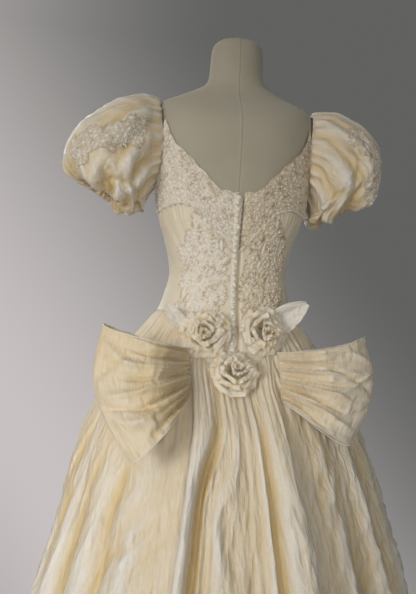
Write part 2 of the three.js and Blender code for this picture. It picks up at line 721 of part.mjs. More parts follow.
function addRose(rose) {
  const rings = ROSE_SECTION.map(({ share, height }, i) => (
    steps(0, 360, ROSE_COLUMNS).slice(0, -1).map((turn) => {
      const angle = radians(turn + ROSE_TWIST * i + rose.turn);
      const petal = 1 + ROSE_PETALS.wave * Math.cos(ROSE_PETALS.count * angle + i);
      const radius = ROSE_RADIUS * share * Math.min(1, petal);
      return new THREE.Vector3(radius * Math.cos(angle), radius * Math.sin(angle), height);
    })
  ));
  const mesh = add(rose.name, stack(rings), taffeta);
  const { point, normal } = backSeat(rose.x, rose.z);
  const facing = normal.clone().setZ(0).normalize().setZ(Math.tan(radians(rose.tilt))).normalize();
  mesh.position.copy(point).addScaledVector(facing, rose.out);
  mesh.quaternion.setFromUnitVectors(new THREE.Vector3(0, 0, 1), facing);
}

function addLeaf(leaf) {
  const root = backSeat(leaf.root.x, leaf.root.z);
  const start = root.point.clone().addScaledVector(root.normal, leaf.out);
  const along = new THREE.Vector3(leaf.tip.x - leaf.root.x, 0, leaf.tip.z - leaf.root.z);
  const side = new THREE.Vector3().crossVectors(root.normal, along).normalize();
  const grid = (out) => steps(0, 1, 5).map((share) => [-1, -0.5, 0, 0.5, 1].map((across) => {
    const width = leaf.half * Math.sin(Math.PI * mix(LEAF_ENDS.root, LEAF_ENDS.tip, share));
    const crease = LEAF_CREASE * Math.abs(across) * Math.sin(Math.PI * share);
    const lift = leaf.lift * share + crease + out;
    return start.clone().addScaledVector(along, share)
      .addScaledVector(side, across * width).addScaledVector(root.normal, lift);
  }));
  add(`leaf_${leaf.side}`, sheet(grid(WALL), grid(0)), taffeta);
}

// ---- the whole dress on its form ----------------------------------------------------------

addForm();
addBodice();
addBackSprays();
addPlacketAndButtons();
addSleeve("left", 1);
addSleeve("right", -1);
addSkirt();
addDrape();
LOOPS.forEach(addLoop);
ROSES.forEach(addRose);
LEAVES.forEach(addLeaf);

// The origin is on the floor, under the middle of the skirt.
const bounds = new THREE.Box3().setFromObject(dress);
const middle = bounds.getCenter(new THREE.Vector3());
dress.position.set(-middle.x, -middle.y, 0);

export default dress;
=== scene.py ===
"""An ivory taffeta wedding dress on its limbless dress form, seen from behind.

Lengths in the tables are millimetres from the form's axis, +X the wearer's left, +Y the back.
Angles are degrees round the body: 0 the left side, 90 the centre back, 270 the centre front.
"""

import math

import bpy
import numpy as np
from mathutils import Matrix, Vector


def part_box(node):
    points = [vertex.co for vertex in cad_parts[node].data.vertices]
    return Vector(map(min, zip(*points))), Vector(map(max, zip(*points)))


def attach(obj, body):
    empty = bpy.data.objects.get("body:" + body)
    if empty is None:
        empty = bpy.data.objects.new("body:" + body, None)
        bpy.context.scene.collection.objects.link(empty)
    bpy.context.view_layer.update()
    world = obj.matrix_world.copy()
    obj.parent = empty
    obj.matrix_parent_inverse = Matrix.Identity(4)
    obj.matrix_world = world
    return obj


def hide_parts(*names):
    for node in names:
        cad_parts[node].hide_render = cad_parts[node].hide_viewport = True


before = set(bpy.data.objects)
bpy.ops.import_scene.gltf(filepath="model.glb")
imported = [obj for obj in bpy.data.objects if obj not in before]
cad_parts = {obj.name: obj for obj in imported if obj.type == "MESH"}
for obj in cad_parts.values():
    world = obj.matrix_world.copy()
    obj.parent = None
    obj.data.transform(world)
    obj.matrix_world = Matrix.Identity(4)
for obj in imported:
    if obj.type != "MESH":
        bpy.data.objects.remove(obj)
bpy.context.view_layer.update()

MM = 0.001
POLE_LOW, POLE_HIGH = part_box("form_pole")
AXIS = np.array([(POLE_LOW[0] + POLE_HIGH[0]) / 2, (POLE_LOW[1] + POLE_HIGH[1]) / 2, 0.0])
HEM_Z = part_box("skirt_front")[0][2] / MM
DRAPE_HEM_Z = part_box("back_drape")[0][2] / MM
FORM_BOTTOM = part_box("form_torso")[0][2] / MM

# ---- sizes ---------------------------------------------------------------------------------

BODICE_OUT = 3.6  # outside of the bodice, from the form
LACE_OUT = 3.4
LACE_EDGE_OUT = 1.6  # where the neckline lies close to the form
SIDE_SEAM_Z = 985
BACK_POINT_DROP = 105
FRONT_POINT_DROP = 70
WAIST_POINT_POWER = 5
SKIRT_SPRING = 110
ROUNDNESS = 2.2
DEGREES = 57.3  # in a radian
# Millimetres for each degree round the bodice, its back spray, a sleeve and a sleeve's spray.
BODICE_ARC, SPRAY_ARC, SLEEVE_ARC, SLEEVE_SPRAY_ARC = 2.0, 2.05, 1.45, 1.65

TORSO = [  # z, half width, depth to front, depth to back, lean
    (790, 168, 112, 118, 0), (860, 168, 110, 120, 0), (915, 156, 104, 113, 0),
    (960, 141, 97, 103, 0), (1010, 122, 88, 92, 0), (1057, 111, 82, 85, 0),
    (1122, 123, 92, 91, 0), (1157, 135, 103, 96, 0), (1200, 145, 115, 101, 0),
    (1250, 151, 118, 107, 0), (1300, 156, 110, 112, 0), (1345, 158, 98, 108, 0),
    (1375, 157, 86, 90, -2), (1392, 148, 77, 74, -4), (1408, 116, 68, 62, -6),
    (1422, 86, 61, 56, -7), (1436, 63, 56, 52, -8), (1455, 54, 52, 51, -8),
    (1490, 52, 50, 50, -8), (1512, 50, 49, 49, -8), (1524, 41, 41, 41, -8),
    (1530, 22, 22, 22, -8),
]
BACK_NECKLINE = [  # angle from the centre back, z
    (0, 1208), (12, 1213), (20, 1234), (28, 1254), (36, 1274), (45, 1292), (52, 1311),
    (60, 1345), (66, 1305), (74, 1266), (82, 1242), (90, 1230),
]
FRONT_NECKLINE = [  # angle from the centre front, z
    (0, 1236), (20, 1241), (36, 1264), (48, 1300), (58, 1345), (66, 1300), (74, 1264),
    (82, 1242), (90, 1230),
]
YOKE_SEAM = [  # angle from the centre back, z
    (0, 1096), (8, 1114), (16, 1140), (23, 1162), (32, 1180), (46, 1188), (60, 1185),
    (90, 1178),
]
SKIRT = [  # z, half width, depth to front, depth to back, sway to the wearer's right
    (12, 480, 430, 490, 18), (250, 413, 368, 420, 18), (440, 356, 313, 355, 16),
    (580, 318, 268, 298, 13), (745, 273, 208, 222, 8), (820, 242, 178, 187, 4),
    (900, 203, 143, 150, 0), (985, 160, 108, 116, 0),
]


# ---- flat sizes of the cloth, in metres ----------------------------------------------------

FLAT = {
    "bodice_centre_back_left": (0.10, 0.25), "bodice_side_back_left": (0.13, 0.21),
    "bodice_side_front_left": (0.14, 0.27), "bodice_centre_front": (0.14, 0.34),
    "bodice_side_front_right": (0.14, 0.27), "bodice_side_back_right": (0.13, 0.21),
    "bodice_centre_back_right": (0.10, 0.25),
    "yoke": (0.24, 0.22), "spray_back": (0.13, 0.25), "sleeve": (0.75, 0.42), "spray_sleeve": (0.12, 0.16),
    "skirt_back": (0.60, 0.95), "skirt_left": (1.05, 1.05), "skirt_front": (1.40, 1.0),
    "skirt_right": (1.05, 1.05), "back_drape": (0.52, 0.95), "bow_loop": (0.50, 0.24),
}


# ---- curves and steps ----------------------------------------------------------------------


def curve_through(rows, value):
    """A smooth curve through column value of a table against column 0, with no overshoot."""
    table = np.array(sorted(rows), float)
    x, y = table[:, 0], table[:, value]
    span = np.diff(x)
    slope = np.diff(y) / span
    tangent = np.zeros(len(x))
    tangent[0], tangent[-1] = slope[0], slope[-1]
    same = slope[:-1] * slope[1:] > 0
    total = np.where(same, slope[:-1] + slope[1:], 1)
    tangent[1:-1] = np.where(same, 2 * slope[:-1] * slope[1:] / total, 0)

    def at(where):
        where = np.clip(where, x[0], x[-1])
        i = np.clip(np.searchsorted(x, where, side="right") - 1, 0, len(span) - 1)
        t = (where - x[i]) / span[i]
        rise = t * t * (3 - 2 * t)
        start = t * (1 - t) ** 2 * tangent[i] * span[i]
        end = t * t * (t - 1) * tangent[i + 1] * span[i]
        return y[i] + (y[i + 1] - y[i]) * rise + start + end

    return at


def smooth_step(value, low, high):
    t = np.clip((value - low) / (high - low), 0, 1)
    return t * t * (3 - 2 * t)


def mix(a, b, share):
    return a + (b - a) * share


def bump(value, centre, width):
    """A soft ridge, 1 at its centre."""
    return np.exp(-(((value - centre) / width) ** 2))


def unit(vectors):
    return vectors / np.linalg.norm(vectors, axis=-1, keepdims=True)


# ---- uneven cloth --------------------------------------------------------------------------


class Noise:
    """Smooth repeatable noise over a plane, from -1 to 1."""

    def __init__(self, seed):
        draw = np.random.RandomState(seed)
        turn = draw.rand(256) * 2 * np.pi
        self.gradient = np.stack([np.cos(turn), np.sin(turn)], axis=1)
        self.order = draw.permutation(256)

    def corner(self, i, j, x, y):
        which = self.order[(self.order[i & 255] + j) & 255]
        gradient = self.gradient[which]
        return gradient[..., 0] * (x - i) + gradient[..., 1] * (y - j)

    def __call__(self, x, y):
        x, y = np.broadcast_arrays(np.asarray(x, float), np.asarray(y, float))
        i, j = np.floor(x).astype(int), np.floor(y).astype(int)
        u, v = smooth_step(x - i, 0, 1), smooth_step(y - j, 0, 1)
        low = mix(self.corner(i, j, x, y), self.corner(i + 1, j, x, y), u)
        high = mix(self.corner(i, j + 1, x, y), self.corner(i + 1, j + 1, x, y), u)
        return 1.5 * mix(low, high, v)


def creases(x, y, size, seed, octaves=3):
    """Crumpled taffeta: flat facets between sharp ridges, from about -1 to 1."""
    bend = Noise(seed + 50)
    x, y = x / size, y / size
    x, y = x + 0.5 * bend(x * 0.7, y * 0.7), y + 0.5 * bend(y * 0.7 + 9, x * 0.7 + 4)
    total, strength, height = 0, 0, 1.0
    for octave in range(octaves):
        total = total + height * (1 - 2.6 * np.abs(Noise(seed + octave)(x, y)))
        strength += height
        x, y, height = x * 1.9 + 3.7, y * 1.9 + 1.3, height * 0.5
    return total / strength


# ---- meshes --------------------------------------------------------------------------------


def new_piece(name, points, faces, uv=None):
    """A smooth mesh from points in millimetres about the form's axis, and rows of corner indices."""
    mesh = bpy.data.meshes.new(name)
    places = np.asarray(points, float) * MM + AXIS
    faces = np.asarray(faces, np.int32)
    sides = faces.shape[1]
    mesh.vertices.add(len(places))
    mesh.vertices.foreach_set("co", places.ravel())
    mesh.loops.add(faces.size)
    mesh.loops.foreach_set("vertex_index", faces.ravel())
    mesh.polygons.add(len(faces))
    mesh.polygons.foreach_set("loop_start", np.arange(0, faces.size, sides, dtype=np.int32))
    if uv is not None:
        layer = mesh.uv_layers.new(name="cloth")
        layer.data.foreach_set("uv", np.asarray(uv, float)[faces.ravel()].ravel())
    mesh.update(calc_edges=True)
    mesh.polygons.foreach_set("use_smooth", np.ones(len(faces), bool))
    piece = bpy.data.objects.new(name, mesh)
    bpy.context.collection.objects.link(piece)
    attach(piece, "root")
    return piece


def grid_faces(rows, columns, wrapped=False):
    across = columns if wrapped else columns - 1
    r, c = np.meshgrid(np.arange(rows - 1), np.arange(across), indexing="ij")
    after = (c + 1) % columns
    quads = [r * columns + c, r * columns + after, (r + 1) * columns + after, (r + 1) * columns + c]
    return np.stack(quads, axis=-1).reshape(-1, 4)


def cloth(name, points, wrapped=False, flip=False, keep=None, **tones):
    """A sheet from a grid of points, with its lengths along the cloth as its UV, in metres.

    Each tone is a number at every point that the cloth's material reads, such as fold, the share of painted
    golden shade in a fold's trough, or relief, the lace's height.
    """
    rows, columns = points.shape[:2]
    across = np.linalg.norm(np.diff(points, axis=1, prepend=points[:, :1]), axis=2)
    down = np.linalg.norm(np.diff(points, axis=0, prepend=points[:1]), axis=2)
    u, v = np.cumsum(across, axis=1), np.cumsum(down, axis=0)
    u = np.broadcast_to(u.mean(axis=0), u.shape)
    v = np.broadcast_to(v.mean(axis=1)[:, None], v.shape)
    uv = np.stack([u, v], axis=-1).reshape(-1, 2) * MM
    faces = grid_faces(rows, columns, wrapped)
    if keep is not None:
        faces = faces[keep.ravel()[faces].all(axis=1)]
    if flip:
        faces = faces[:, ::-1]
    used, faces = np.unique(faces, return_inverse=True)
    piece = new_piece(name, points.reshape(-1, 3)[used], faces.reshape(-1, 4), uv[used])
    for tone, values in tones.items():
        attribute = piece.data.attributes.new(tone, "FLOAT", "POINT")
        values = np.broadcast_to(values, (rows, columns)).ravel()[used]
        attribute.data.foreach_set("value", np.asarray(values, np.float32))
    return piece


def tube(name, path, radius, sides=8, closed=False):
    """A cord of one thickness along a path."""
    path = np.asarray(path, float)
    if closed:
        along = np.roll(path, -1, axis=0) - np.roll(path, 1, axis=0)
    else:
        along = np.gradient(path, axis=0)
    along = unit(along)
    level = unit(np.cross(along, [0.31, 0.22, 0.92]))
    upright = np.cross(along, level)
    turn = np.linspace(0, 2 * np.pi, sides, endpoint=False)
    ring = level[:, None] * np.cos(turn)[None, :, None] + upright[:, None] * np.sin(turn)[None, :, None]
    points = path[:, None] + radius * ring
    if closed:
        points = np.concatenate([points, points[:1]])
    return cloth(name, points, wrapped=True, flip=True)


BEAD_RINGS, BEAD_SIDES = 4, 8
SEQUIN_FLATNESS = 0.15


def ball_points(tilt, sides):
    """Rings of a ball of radius 1 about +Z, one for each tilt from it in radians."""
    turn = np.linspace(0, 2 * np.pi, sides, endpoint=False)
    return np.stack([
        (np.sin(tilt)[:, None] * np.cos(turn)).ravel(),
        (np.sin(tilt)[:, None] * np.sin(turn)).ravel(),
        np.repeat(np.cos(tilt), sides),
    ], axis=1)


def beads(name, places, radii, outward, flatness=1.0):
    """Many beads joined in one mesh: balls by default, or sequins when flatness is small."""
    outward = unit(outward)
    level = unit(np.cross(outward, [0.1, 0.2, 0.97]))
    ball = ball_points(np.linspace(0.12, np.pi - 0.12, BEAD_RINGS), BEAD_SIDES) * [1, 1, flatness]
    basis = np.stack([level, np.cross(outward, level), outward], axis=1)
    radii = np.broadcast_to(radii, len(places))
    points = places[:, None] + radii[:, None, None] * (ball @ basis)
    one = grid_faces(BEAD_RINGS, BEAD_SIDES, wrapped=True)
    caps = np.array([[0, 2, 4, 6], [0, 6, 4, 2]])
    one = np.concatenate([one, caps[:1], caps[1:] + (BEAD_RINGS - 1) * BEAD_SIDES])
    per = BEAD_RINGS * BEAD_SIDES
    faces = one[None] + (np.arange(len(places)) * per)[:, None, None]
    return new_piece(name, points.reshape(-1, 3), faces.reshape(-1, 4)[:, ::-1])


# ---- the body's surfaces -------------------------------------------------------------------

torso_half, torso_front, torso_back, torso_lean = (curve_through(TORSO, k) for k in (1, 2, 3, 4))
skirt_half, skirt_front, skirt_back, skirt_sway = (curve_through(SKIRT, k) for k in (1, 2, 3, 4))
back_neckline = curve_through(BACK_NECKLINE, 1)
front_neckline = curve_through(FRONT_NECKLINE, 1)
yoke_seam = curve_through(YOKE_SEAM, 1)


def oval(angle, z, half, front, back, lean, roundness):
    angle = np.radians(angle)
    across, deep = np.cos(angle), np.sin(angle)
    power = 2 / roundness
    x = half * np.sign(across) * np.abs(across) ** power
    y = lean + np.where(deep > 0, back, front) * np.sign(deep) * np.abs(deep) ** power
    return np.stack(np.broadcast_arrays(x, y, z), axis=-1)


def torso_point(angle, z):
    return oval(angle, z, torso_half(z), torso_front(z), torso_back(z), torso_lean(z), ROUNDNESS)


def torso_normal(angle, z):
    along = torso_point(angle + 1, z) - torso_point(angle - 1, z)
    up = torso_point(angle, z + 2) - torso_point(angle, z - 2)
    return unit(np.cross(along, up))


def body_point(angle, z, out):
    angle, z, out = np.broadcast_arrays(*(np.asarray(v, float) for v in (angle, z, out)))
    return torso_point(angle, z) + torso_normal(angle, z) * out[..., None]


def away_from_back(angle):
    return np.abs((np.asarray(angle, float) - 90 + 180) % 360 - 180)


def away_from_centre(angle):
    away = away_from_back(angle)
    return np.where(away <= 90, away, 180 - away)


def neckline_z(angle):
    away = away_from_centre(angle)
    return np.where(away_from_back(angle) <= 90, back_neckline(away), front_neckline(away))


def yoke_seam_z(angle):
    return yoke_seam(away_from_centre(angle))


def waist_seam_z(angle):
    drop = np.where(away_from_back(angle) <= 90, BACK_POINT_DROP, FRONT_POINT_DROP)
    return SIDE_SEAM_Z - drop * np.cos(np.radians(away_from_centre(angle))) ** WAIST_POINT_POWER


def facing_basis(normal):
    """Level, upright and outward directions for a piece that faces along a normal."""
    level = unit(np.cross([0, 0, 1.0], normal))
    return np.stack([level, np.cross(normal, level), normal])


def arc_length(points):
    """Distance along a row of points, from its first."""
    return np.concatenate([[0], np.cumsum(np.linalg.norm(np.diff(points, axis=0), axis=1))])


def soft_creases(x, y, table):
    """Listed troughs and ridges: each runs from one end to the other and fades there."""
    total = np.zeros(np.broadcast(x, y).shape)
    for start_x, start_y, end_x, end_y, width, height in table:
        run = np.array([end_x - start_x, end_y - start_y], float)
        length = np.hypot(*run)
        run /= length
        along = (x - start_x) * run[0] + (y - start_y) * run[1]
        aside = (x - start_x) * run[1] - (y - start_y) * run[0]
        reach = smooth_step(along, -0.25 * length, 0.25 * length)
        reach = reach * (1 - smooth_step(along, 0.75 * length, 1.25 * length))
        total = total + height * reach * np.exp(-np.abs(aside / width) ** 1.7)
    return total


def blurred(values, reach, axis):
    """A running mean over a grid, along one axis."""
    size = 2 * reach + 1
    padding = [(0, 0), (0, 0)]
    padding[axis] = (reach + 1, reach)
    total = np.cumsum(np.pad(values, padding, mode="edge"), axis=axis)
    first = np.take(total, range(0, values.shape[axis]), axis=axis)
    last = np.take(total, range(size, values.shape[axis] + size), axis=axis)
    return (last - first) / size


def fold_shade(height, reach, depth):
    """How far each point lies down in a fold, from 0 on the ridges to 1 in the troughs: how much painted
    golden shade it takes.
    """
    around = blurred(blurred(height, reach, 1), reach, 1)
    return np.clip(0.45 - (height - around) / depth, 0, 1)


def grid_normals(points):
    return unit(np.cross(np.gradient(points, axis=1), np.gradient(points, axis=0)))


# ---- materials -----------------------------------------------------------------------------


class Look:
    """A node material, with short ways to add its nodes."""

    def __init__(self, name, roughness, **constants):
        self.material = bpy.data.materials.new(name)
        self.material.use_nodes = True
        self.tree = self.material.node_tree
        self.shader = self.tree.nodes["Principled BSDF"]
        self.shader.inputs["Roughness"].default_value = roughness
        for socket, value in constants.items():
            self.shader.inputs[socket.replace("_", " ")].default_value = value

    def node(self, kind, **values):
        made = self.tree.nodes.new(kind)
        for key, value in values.items():
            if key in made.inputs:
                made.inputs[key].default_value = value
            else:
                setattr(made, key, value)
        return made

    def link(self, output, target):
        self.tree.links.new(output, target)

    def cloth_place(self, across, along):
        """The place on the cloth, stretched to so many repeats a metre each way."""
        place = self.node("ShaderNodeUVMap", uv_map="cloth")
        scale = self.node("ShaderNodeMapping")
        scale.inputs["Scale"].default_value = (across, along, 1)
        self.link(place.outputs["UV"], scale.inputs["Vector"])
        return scale.outputs["Vector"]

    def object_place(self):
        return self.node("ShaderNodeTexCoord").outputs["Object"]

    def noise(self, place, scale, detail=3.0, roughness=0.5):
        made = self.node("ShaderNodeTexNoise", Scale=scale, Detail=detail, Roughness=roughness)
        self.link(place, made.inputs["Vector"])
        return made.outputs["Fac"]

    def ramp(self, value, low, high, start=0.0, end=1.0):
        made = self.node("ShaderNodeMapRange", clamp=True)
        for socket, number in (("From Min", start), ("From Max", end), ("To Min", low), ("To Max", high)):
            made.inputs[socket].default_value = number
        self.link(value, made.inputs["Value"])
        return made.outputs["Result"]

    def blend(self, share, first, second):
        made = self.node("ShaderNodeMix", data_type="RGBA")
        self.link(share, made.inputs[0])
        for slot, colour in ((6, first), (7, second)):
            if isinstance(colour, tuple):
                made.inputs[slot].default_value = (*colour, 1)
            else:
                self.link(colour, made.inputs[slot])
        return made.outputs[2]

    def add(self, first, second, weight=1.0):
        made = self.node("ShaderNodeMath", operation="MULTIPLY_ADD")
        self.link(second, made.inputs[0])
        made.inputs[1].default_value = weight
        self.link(first, made.inputs[2])
        return made.outputs[0]

    def crinkle(self, across, along, detail=2.0):
        """Sharp ridges between flat facets, as crumpled silk has."""
        height = self.noise(self.cloth_place(across, along), 1.0, detail, 0.55)
        off = self.node("ShaderNodeMath", operation="SUBTRACT")
        self.link(height, off.inputs[0])
        off.inputs[1].default_value = 0.5
        size = self.node("ShaderNodeMath", operation="ABSOLUTE")
        self.link(off.outputs[0], size.inputs[0])
        return self.ramp(size.outputs[0], 1, 0, 0, 0.35)

    def bump(self, height, distance, strength=1.0):
        made = self.node("ShaderNodeBump", Strength=strength, Distance=distance)
        self.link(height, made.inputs["Height"])
        self.link(made.outputs["Normal"], self.shader.inputs["Normal"])


IVORY = (0.82, 0.79, 0.72)
# the warm colour is both the taffeta's own warmer patches and the painted golden shade in its folds
GOLD_PATCHES_AND_SHADE = (0.70, 0.54, 0.28)
# how strongly the painted shade in the folds counts in the colour
FOLD_SHADE_WEIGHT = 1.0


def woven_look(name, pale, warm, roughness, slub, crinkle):
    """Silk: fine slubs across the cloth, long faint streaks down it, warmer patches, and painted golden shade
    in the folds' troughs, read from the fold attribute.
    """
    look = Look(name, roughness, Sheen_Weight=0.18, Sheen_Roughness=0.4, Specular_IOR_Level=0.5)
    threads = look.noise(look.cloth_place(60, 1500), 1.0, 2.0)
    streaks = look.noise(look.cloth_place(700, 24), 1.0, 2.0)
    patches = look.noise(look.cloth_place(9, 5), 1.0, 4.0, 0.6)
    # painted shade: the fold attribute turns the colour towards the warm one in the folds' troughs
    fold = look.node("ShaderNodeAttribute", attribute_name="fold").outputs["Fac"]
    share = look.add(look.ramp(patches, 0, 0.28, 0.35, 0.72), look.ramp(fold, 0, 1, 0.0, 1.0), FOLD_SHADE_WEIGHT)
    tone = look.blend(share, pale, warm)
    darker = tuple(0.86 * c for c in warm)
    tone = look.blend(look.ramp(threads, 0, slub, 0.5, 0.8), tone, darker)
    look.link(tone, look.shader.inputs["Base Color"])
    uneven = look.add(look.ramp(streaks, roughness - 0.07, roughness + 0.07), threads, 0.05)
    look.link(uneven, look.shader.inputs["Roughness"])
    fine = look.noise(look.cloth_place(240, 130), 1.0, 3.0, 0.6)
    height = look.add(look.add(threads, streaks, 0.5), fine, 0.8)
    sharp = look.add(look.crinkle(22, 7), look.crinkle(62, 22), 0.35)
    look.bump(look.add(height, sharp, crinkle), 0.0006, 1.0)
    return look.material


def lace_look(name, raised, ground):
    """Corded floral lace: whiter where it is raised, with a darker ground in its gaps, partly the net's own
    warm colour and partly painted shade in the recesses.
    """
    look = Look(name, 0.6, Sheen_Weight=0.25, Sheen_Roughness=0.5)
    height = look.node("ShaderNodeAttribute", attribute_name="relief").outputs["Fac"]
    mottle = look.noise(look.cloth_place(160, 160), 1.0, 3.0, 0.6)
    # low relief takes the ground colour: partly the net's own colour, partly painted shade in the recesses
    share = look.add(look.ramp(height, 0, 1, 0.05, 0.8), look.ramp(mottle, -0.35, 0.35), 1.0)
    tone = look.blend(share, ground, raised)
    look.link(tone, look.shader.inputs["Base Color"])
    look.link(look.ramp(share, 0.72, 0.5), look.shader.inputs["Roughness"])
    threads = look.noise(look.cloth_place(900, 900), 1.0, 2.0)
    look.bump(look.add(threads, mottle, 0.8), 0.0006, 0.6)
    return look.material


def pearl_look(name, colour, roughness):
    look = Look(name, roughness, Coat_Weight=0.5, Coat_Roughness=0.12, Specular_IOR_Level=0.6)
    cloudy = look.noise(look.object_place(), 260, 2.0)
    look.link(look.blend(cloudy, colour, tuple(0.82 * c for c in colour)), look.shader.inputs["Base Color"])
    look.link(look.ramp(cloudy, roughness - 0.06, roughness + 0.1), look.shader.inputs["Roughness"])
    return look.material


def canvas_look():
    """Unbleached linen over the form, its threads crossing."""
    look = Look("canvas", 0.9, Sheen_Weight=0.2, Sheen_Roughness=0.6)
    across = look.noise(look.cloth_place(260, 1900), 1.0, 2.0)
    down = look.noise(look.cloth_place(1900, 260), 1.0, 2.0)
    stain = look.noise(look.object_place(), 9, 4.0, 0.6)
    weave = look.add(across, down)
    tone = look.blend(look.ramp(stain, 0, 1, 0.3, 0.7), (0.43, 0.39, 0.295), (0.38, 0.34, 0.25))
    tone = look.blend(look.ramp(weave, 0, 0.45, 0.7, 1.4), tone, (0.54, 0.50, 0.39))
    look.link(tone, look.shader.inputs["Base Color"])
    look.link(look.ramp(weave, 0.95, 0.8, 0.6, 1.4), look.shader.inputs["Roughness"])
    look.bump(weave, 0.0005, 0.7)
    return look.material


def steel_look():
    """Powder-coated steel with a fine grain and slight wear."""
    look = Look("stand_steel", 0.5, Metallic=0.6, Coat_Weight=0.1)
    grain = look.noise(look.object_place(), 420, 3.0)
    wear = look.noise(look.object_place(), 30, 5.0, 0.65)
    look.link(look.blend(look.ramp(wear, 0, 1, 0.55, 0.8), (0.035, 0.033, 0.03), (0.1, 0.095, 0.09)),
              look.shader.inputs["Base Color"])
    look.link(look.ramp(wear, 0.55, 0.38), look.shader.inputs["Roughness"])
    look.bump(grain, 0.0003, 0.4)
    return look.material


def floor_look():
    look = Look("floor", 0.8)
    cloudy = look.noise(look.object_place(), 3, 3.0)
    look.link(look.blend(cloudy, (0.62, 0.61, 0.60), (0.66, 0.65, 0.64)), look.shader.inputs["Base Color"])
    return look.material


TAFFETA = woven_look("taffeta", IVORY, GOLD_PATCHES_AND_SHADE, 0.25, 0.4, 8.0)
# the satin's warm colour is likewise both warmer patches and painted golden shade in its folds
SATIN = woven_look("satin", (0.80, 0.745, 0.62), (0.74, 0.635, 0.44), 0.33, 0.25, 1.2)
LACE = lace_look("lace", (0.82, 0.77, 0.67), (0.52, 0.41, 0.26))
# a darker, browner copy of the same lace for the dress's right side: painted shade
LACE_SHADED = lace_look("lace_shaded", (0.78, 0.69, 0.53), (0.42, 0.32, 0.18))
SATIN_BUTTON = pearl_look("covered_button", (0.84, 0.77, 0.64), 0.42)
PEARL = pearl_look("pearl", (0.90, 0.86, 0.78), 0.2)
SEQUIN = pearl_look("sequin", (0.95, 0.93, 0.90), 0.08)
CANVAS = canvas_look()
STEEL = steel_look()

SLOTS = {
    "taffeta": TAFFETA, "satin": SATIN, "lace": LACE, "buttons": SATIN_BUTTON, "canvas": CANVAS,
    "steel": STEEL,
}


def finished(piece, slot, replaces=(), material=None):
    """Gives a piece its material, by default the one for its slot, and hides the CAD nodes that it stands
    for.
    """
    piece.data.materials.append(material or SLOTS[slot])
    if replaces:
        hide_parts(*replaces)
    return piece


# ---- lace ----------------------------------------------------------------------------------

FLOWER_SPACING = 10.5
RELIEF_FULL = 1.8
CORD = 0.85


def scattered(width, height, spacing, seed):
    """Places over a rectangle in offset rows, each moved a little."""
    draw = np.random.RandomState(seed)
    rows = np.arange(-spacing, height + spacing, 0.87 * spacing)
    places = []
    for number, row in enumerate(rows):
        shift = spacing * 0.5 * (number % 2)
        for column in np.arange(-spacing + shift, width + spacing, spacing):
            move = draw.uniform(-0.3, 0.3, 2) * spacing
            places.append((column + move[0], row + move[1], draw.uniform(0, 1), draw.uniform(0, 6.283)))
    return np.array(places)


def lace_relief(x, y, flowers, height=1.9):
    """Corded petals round a raised heart, for each flower or leaf: the height over the net ground."""
    relief = np.zeros(x.shape)
    covered = np.zeros(x.shape, bool)
    for number, (middle_x, middle_y, size, turn) in enumerate(flowers):
        radius = 4.4 + 6.2 * size
        off_x, off_y = x - middle_x, y - middle_y
        away = np.hypot(off_x, off_y)
        close = away < 1.35 * radius
        if not close.any():
            continue
        covered |= away < radius + 1.2
        angle = np.arctan2(off_y[close], off_x[close]) + turn
        away = away[close]
        petals = 5 + number % 3
        lobe = np.abs(np.cos(petals * angle / 2))
        if number % 4 == 3:  # a leaf, not a flower
            lobe = np.abs(np.cos(angle)) ** 3
        edge = radius * (0.42 + 0.62 * lobe)
        share = away / edge
        petal = 0.62 * np.sqrt(np.clip(1 - share**2, 0, 1)) * (0.45 + 0.55 * lobe)
        cord = CORD * np.exp(-(((share - 0.9) / 0.13) ** 2)) * (0.7 + 0.3 * np.cos(7 * angle))
        heart = 1.0 * np.exp(-((away / (0.22 * radius)) ** 2))
        relief[close] = np.maximum(relief[close], np.maximum(petal, cord) + heart)
    net = 0.10 * (np.sin(2.2 * x + 0.8 * np.sin(1.1 * y)) * np.sin(2.2 * y) + 1)
    return np.maximum(relief, net) * height, covered


# ---- the form ------------------------------------------------------------------------------


def make_form():
    levels = np.concatenate([np.linspace(FORM_BOTTOM, 1385, 90), np.linspace(1388, 1529.9, 60)])
    by_seam = [np.arange(84, 87, 1), np.arange(87, 93, 0.25)]
    angles = np.concatenate([np.arange(0, 84, 3), *by_seam, np.arange(93, 360, 3)])
    z, angle = levels[:, None], angles[None, :]
    aside = (angle - 90) * torso_half(z) / DEGREES
    seam = bump(aside, 0.8, 0.8) - 0.7 * bump(aside, -1.6, 1.8)
    sides = bump((angle % 180) * torso_back(z) / DEGREES, 0, 1.1) + bump((180 - angle % 180) * 1.8, 0, 1.1)
    puckered = 0.25 * np.sin(z / 5.5) * bump((angle - 90) * 2.2, 0, 6)
    out = -0.7 * seam - 0.5 * sides + puckered + 0.5 * Noise(3)(angle / 24, z / 70)
    points = body_point(angle, z, out)
    top = points[-1:].mean(axis=1, keepdims=True)
    crown = mix(points[-1:], top, 0.98) + [0, 0, 1.2]
    bottom = mix(points[:1], points[:1].mean(axis=1, keepdims=True), 0.98)
    points = np.concatenate([bottom, points, crown])
    form = cloth("dress_form", np.concatenate([points, points[:, :1]], axis=1), flip=False)
    finished(form, "canvas", ["form_torso"])


# ---- bodice --------------------------------------------------------------------------------

PANELS = [  # name, its CAD node, from and to in degrees, whether a yoke lies above it
    ("bodice_centre_back_left_satin", "bodice_centre_back_left", 52, 90, True),
    ("bodice_side_back_left_satin", "bodice_side_back_left", 0, 52, True),
    ("bodice_side_front_left_satin", "bodice_side_front_left", -60, 0, False),
    ("bodice_centre_front_satin", "bodice_centre_front", -120, -60, False),
    ("bodice_side_front_right_satin", "bodice_side_front_right", -180, -120, False),
    ("bodice_side_back_right_satin", "bodice_side_back_right", 128, 180, True),
    ("bodice_centre_back_right_satin", "bodice_centre_back_right", 90, 128, True),
]
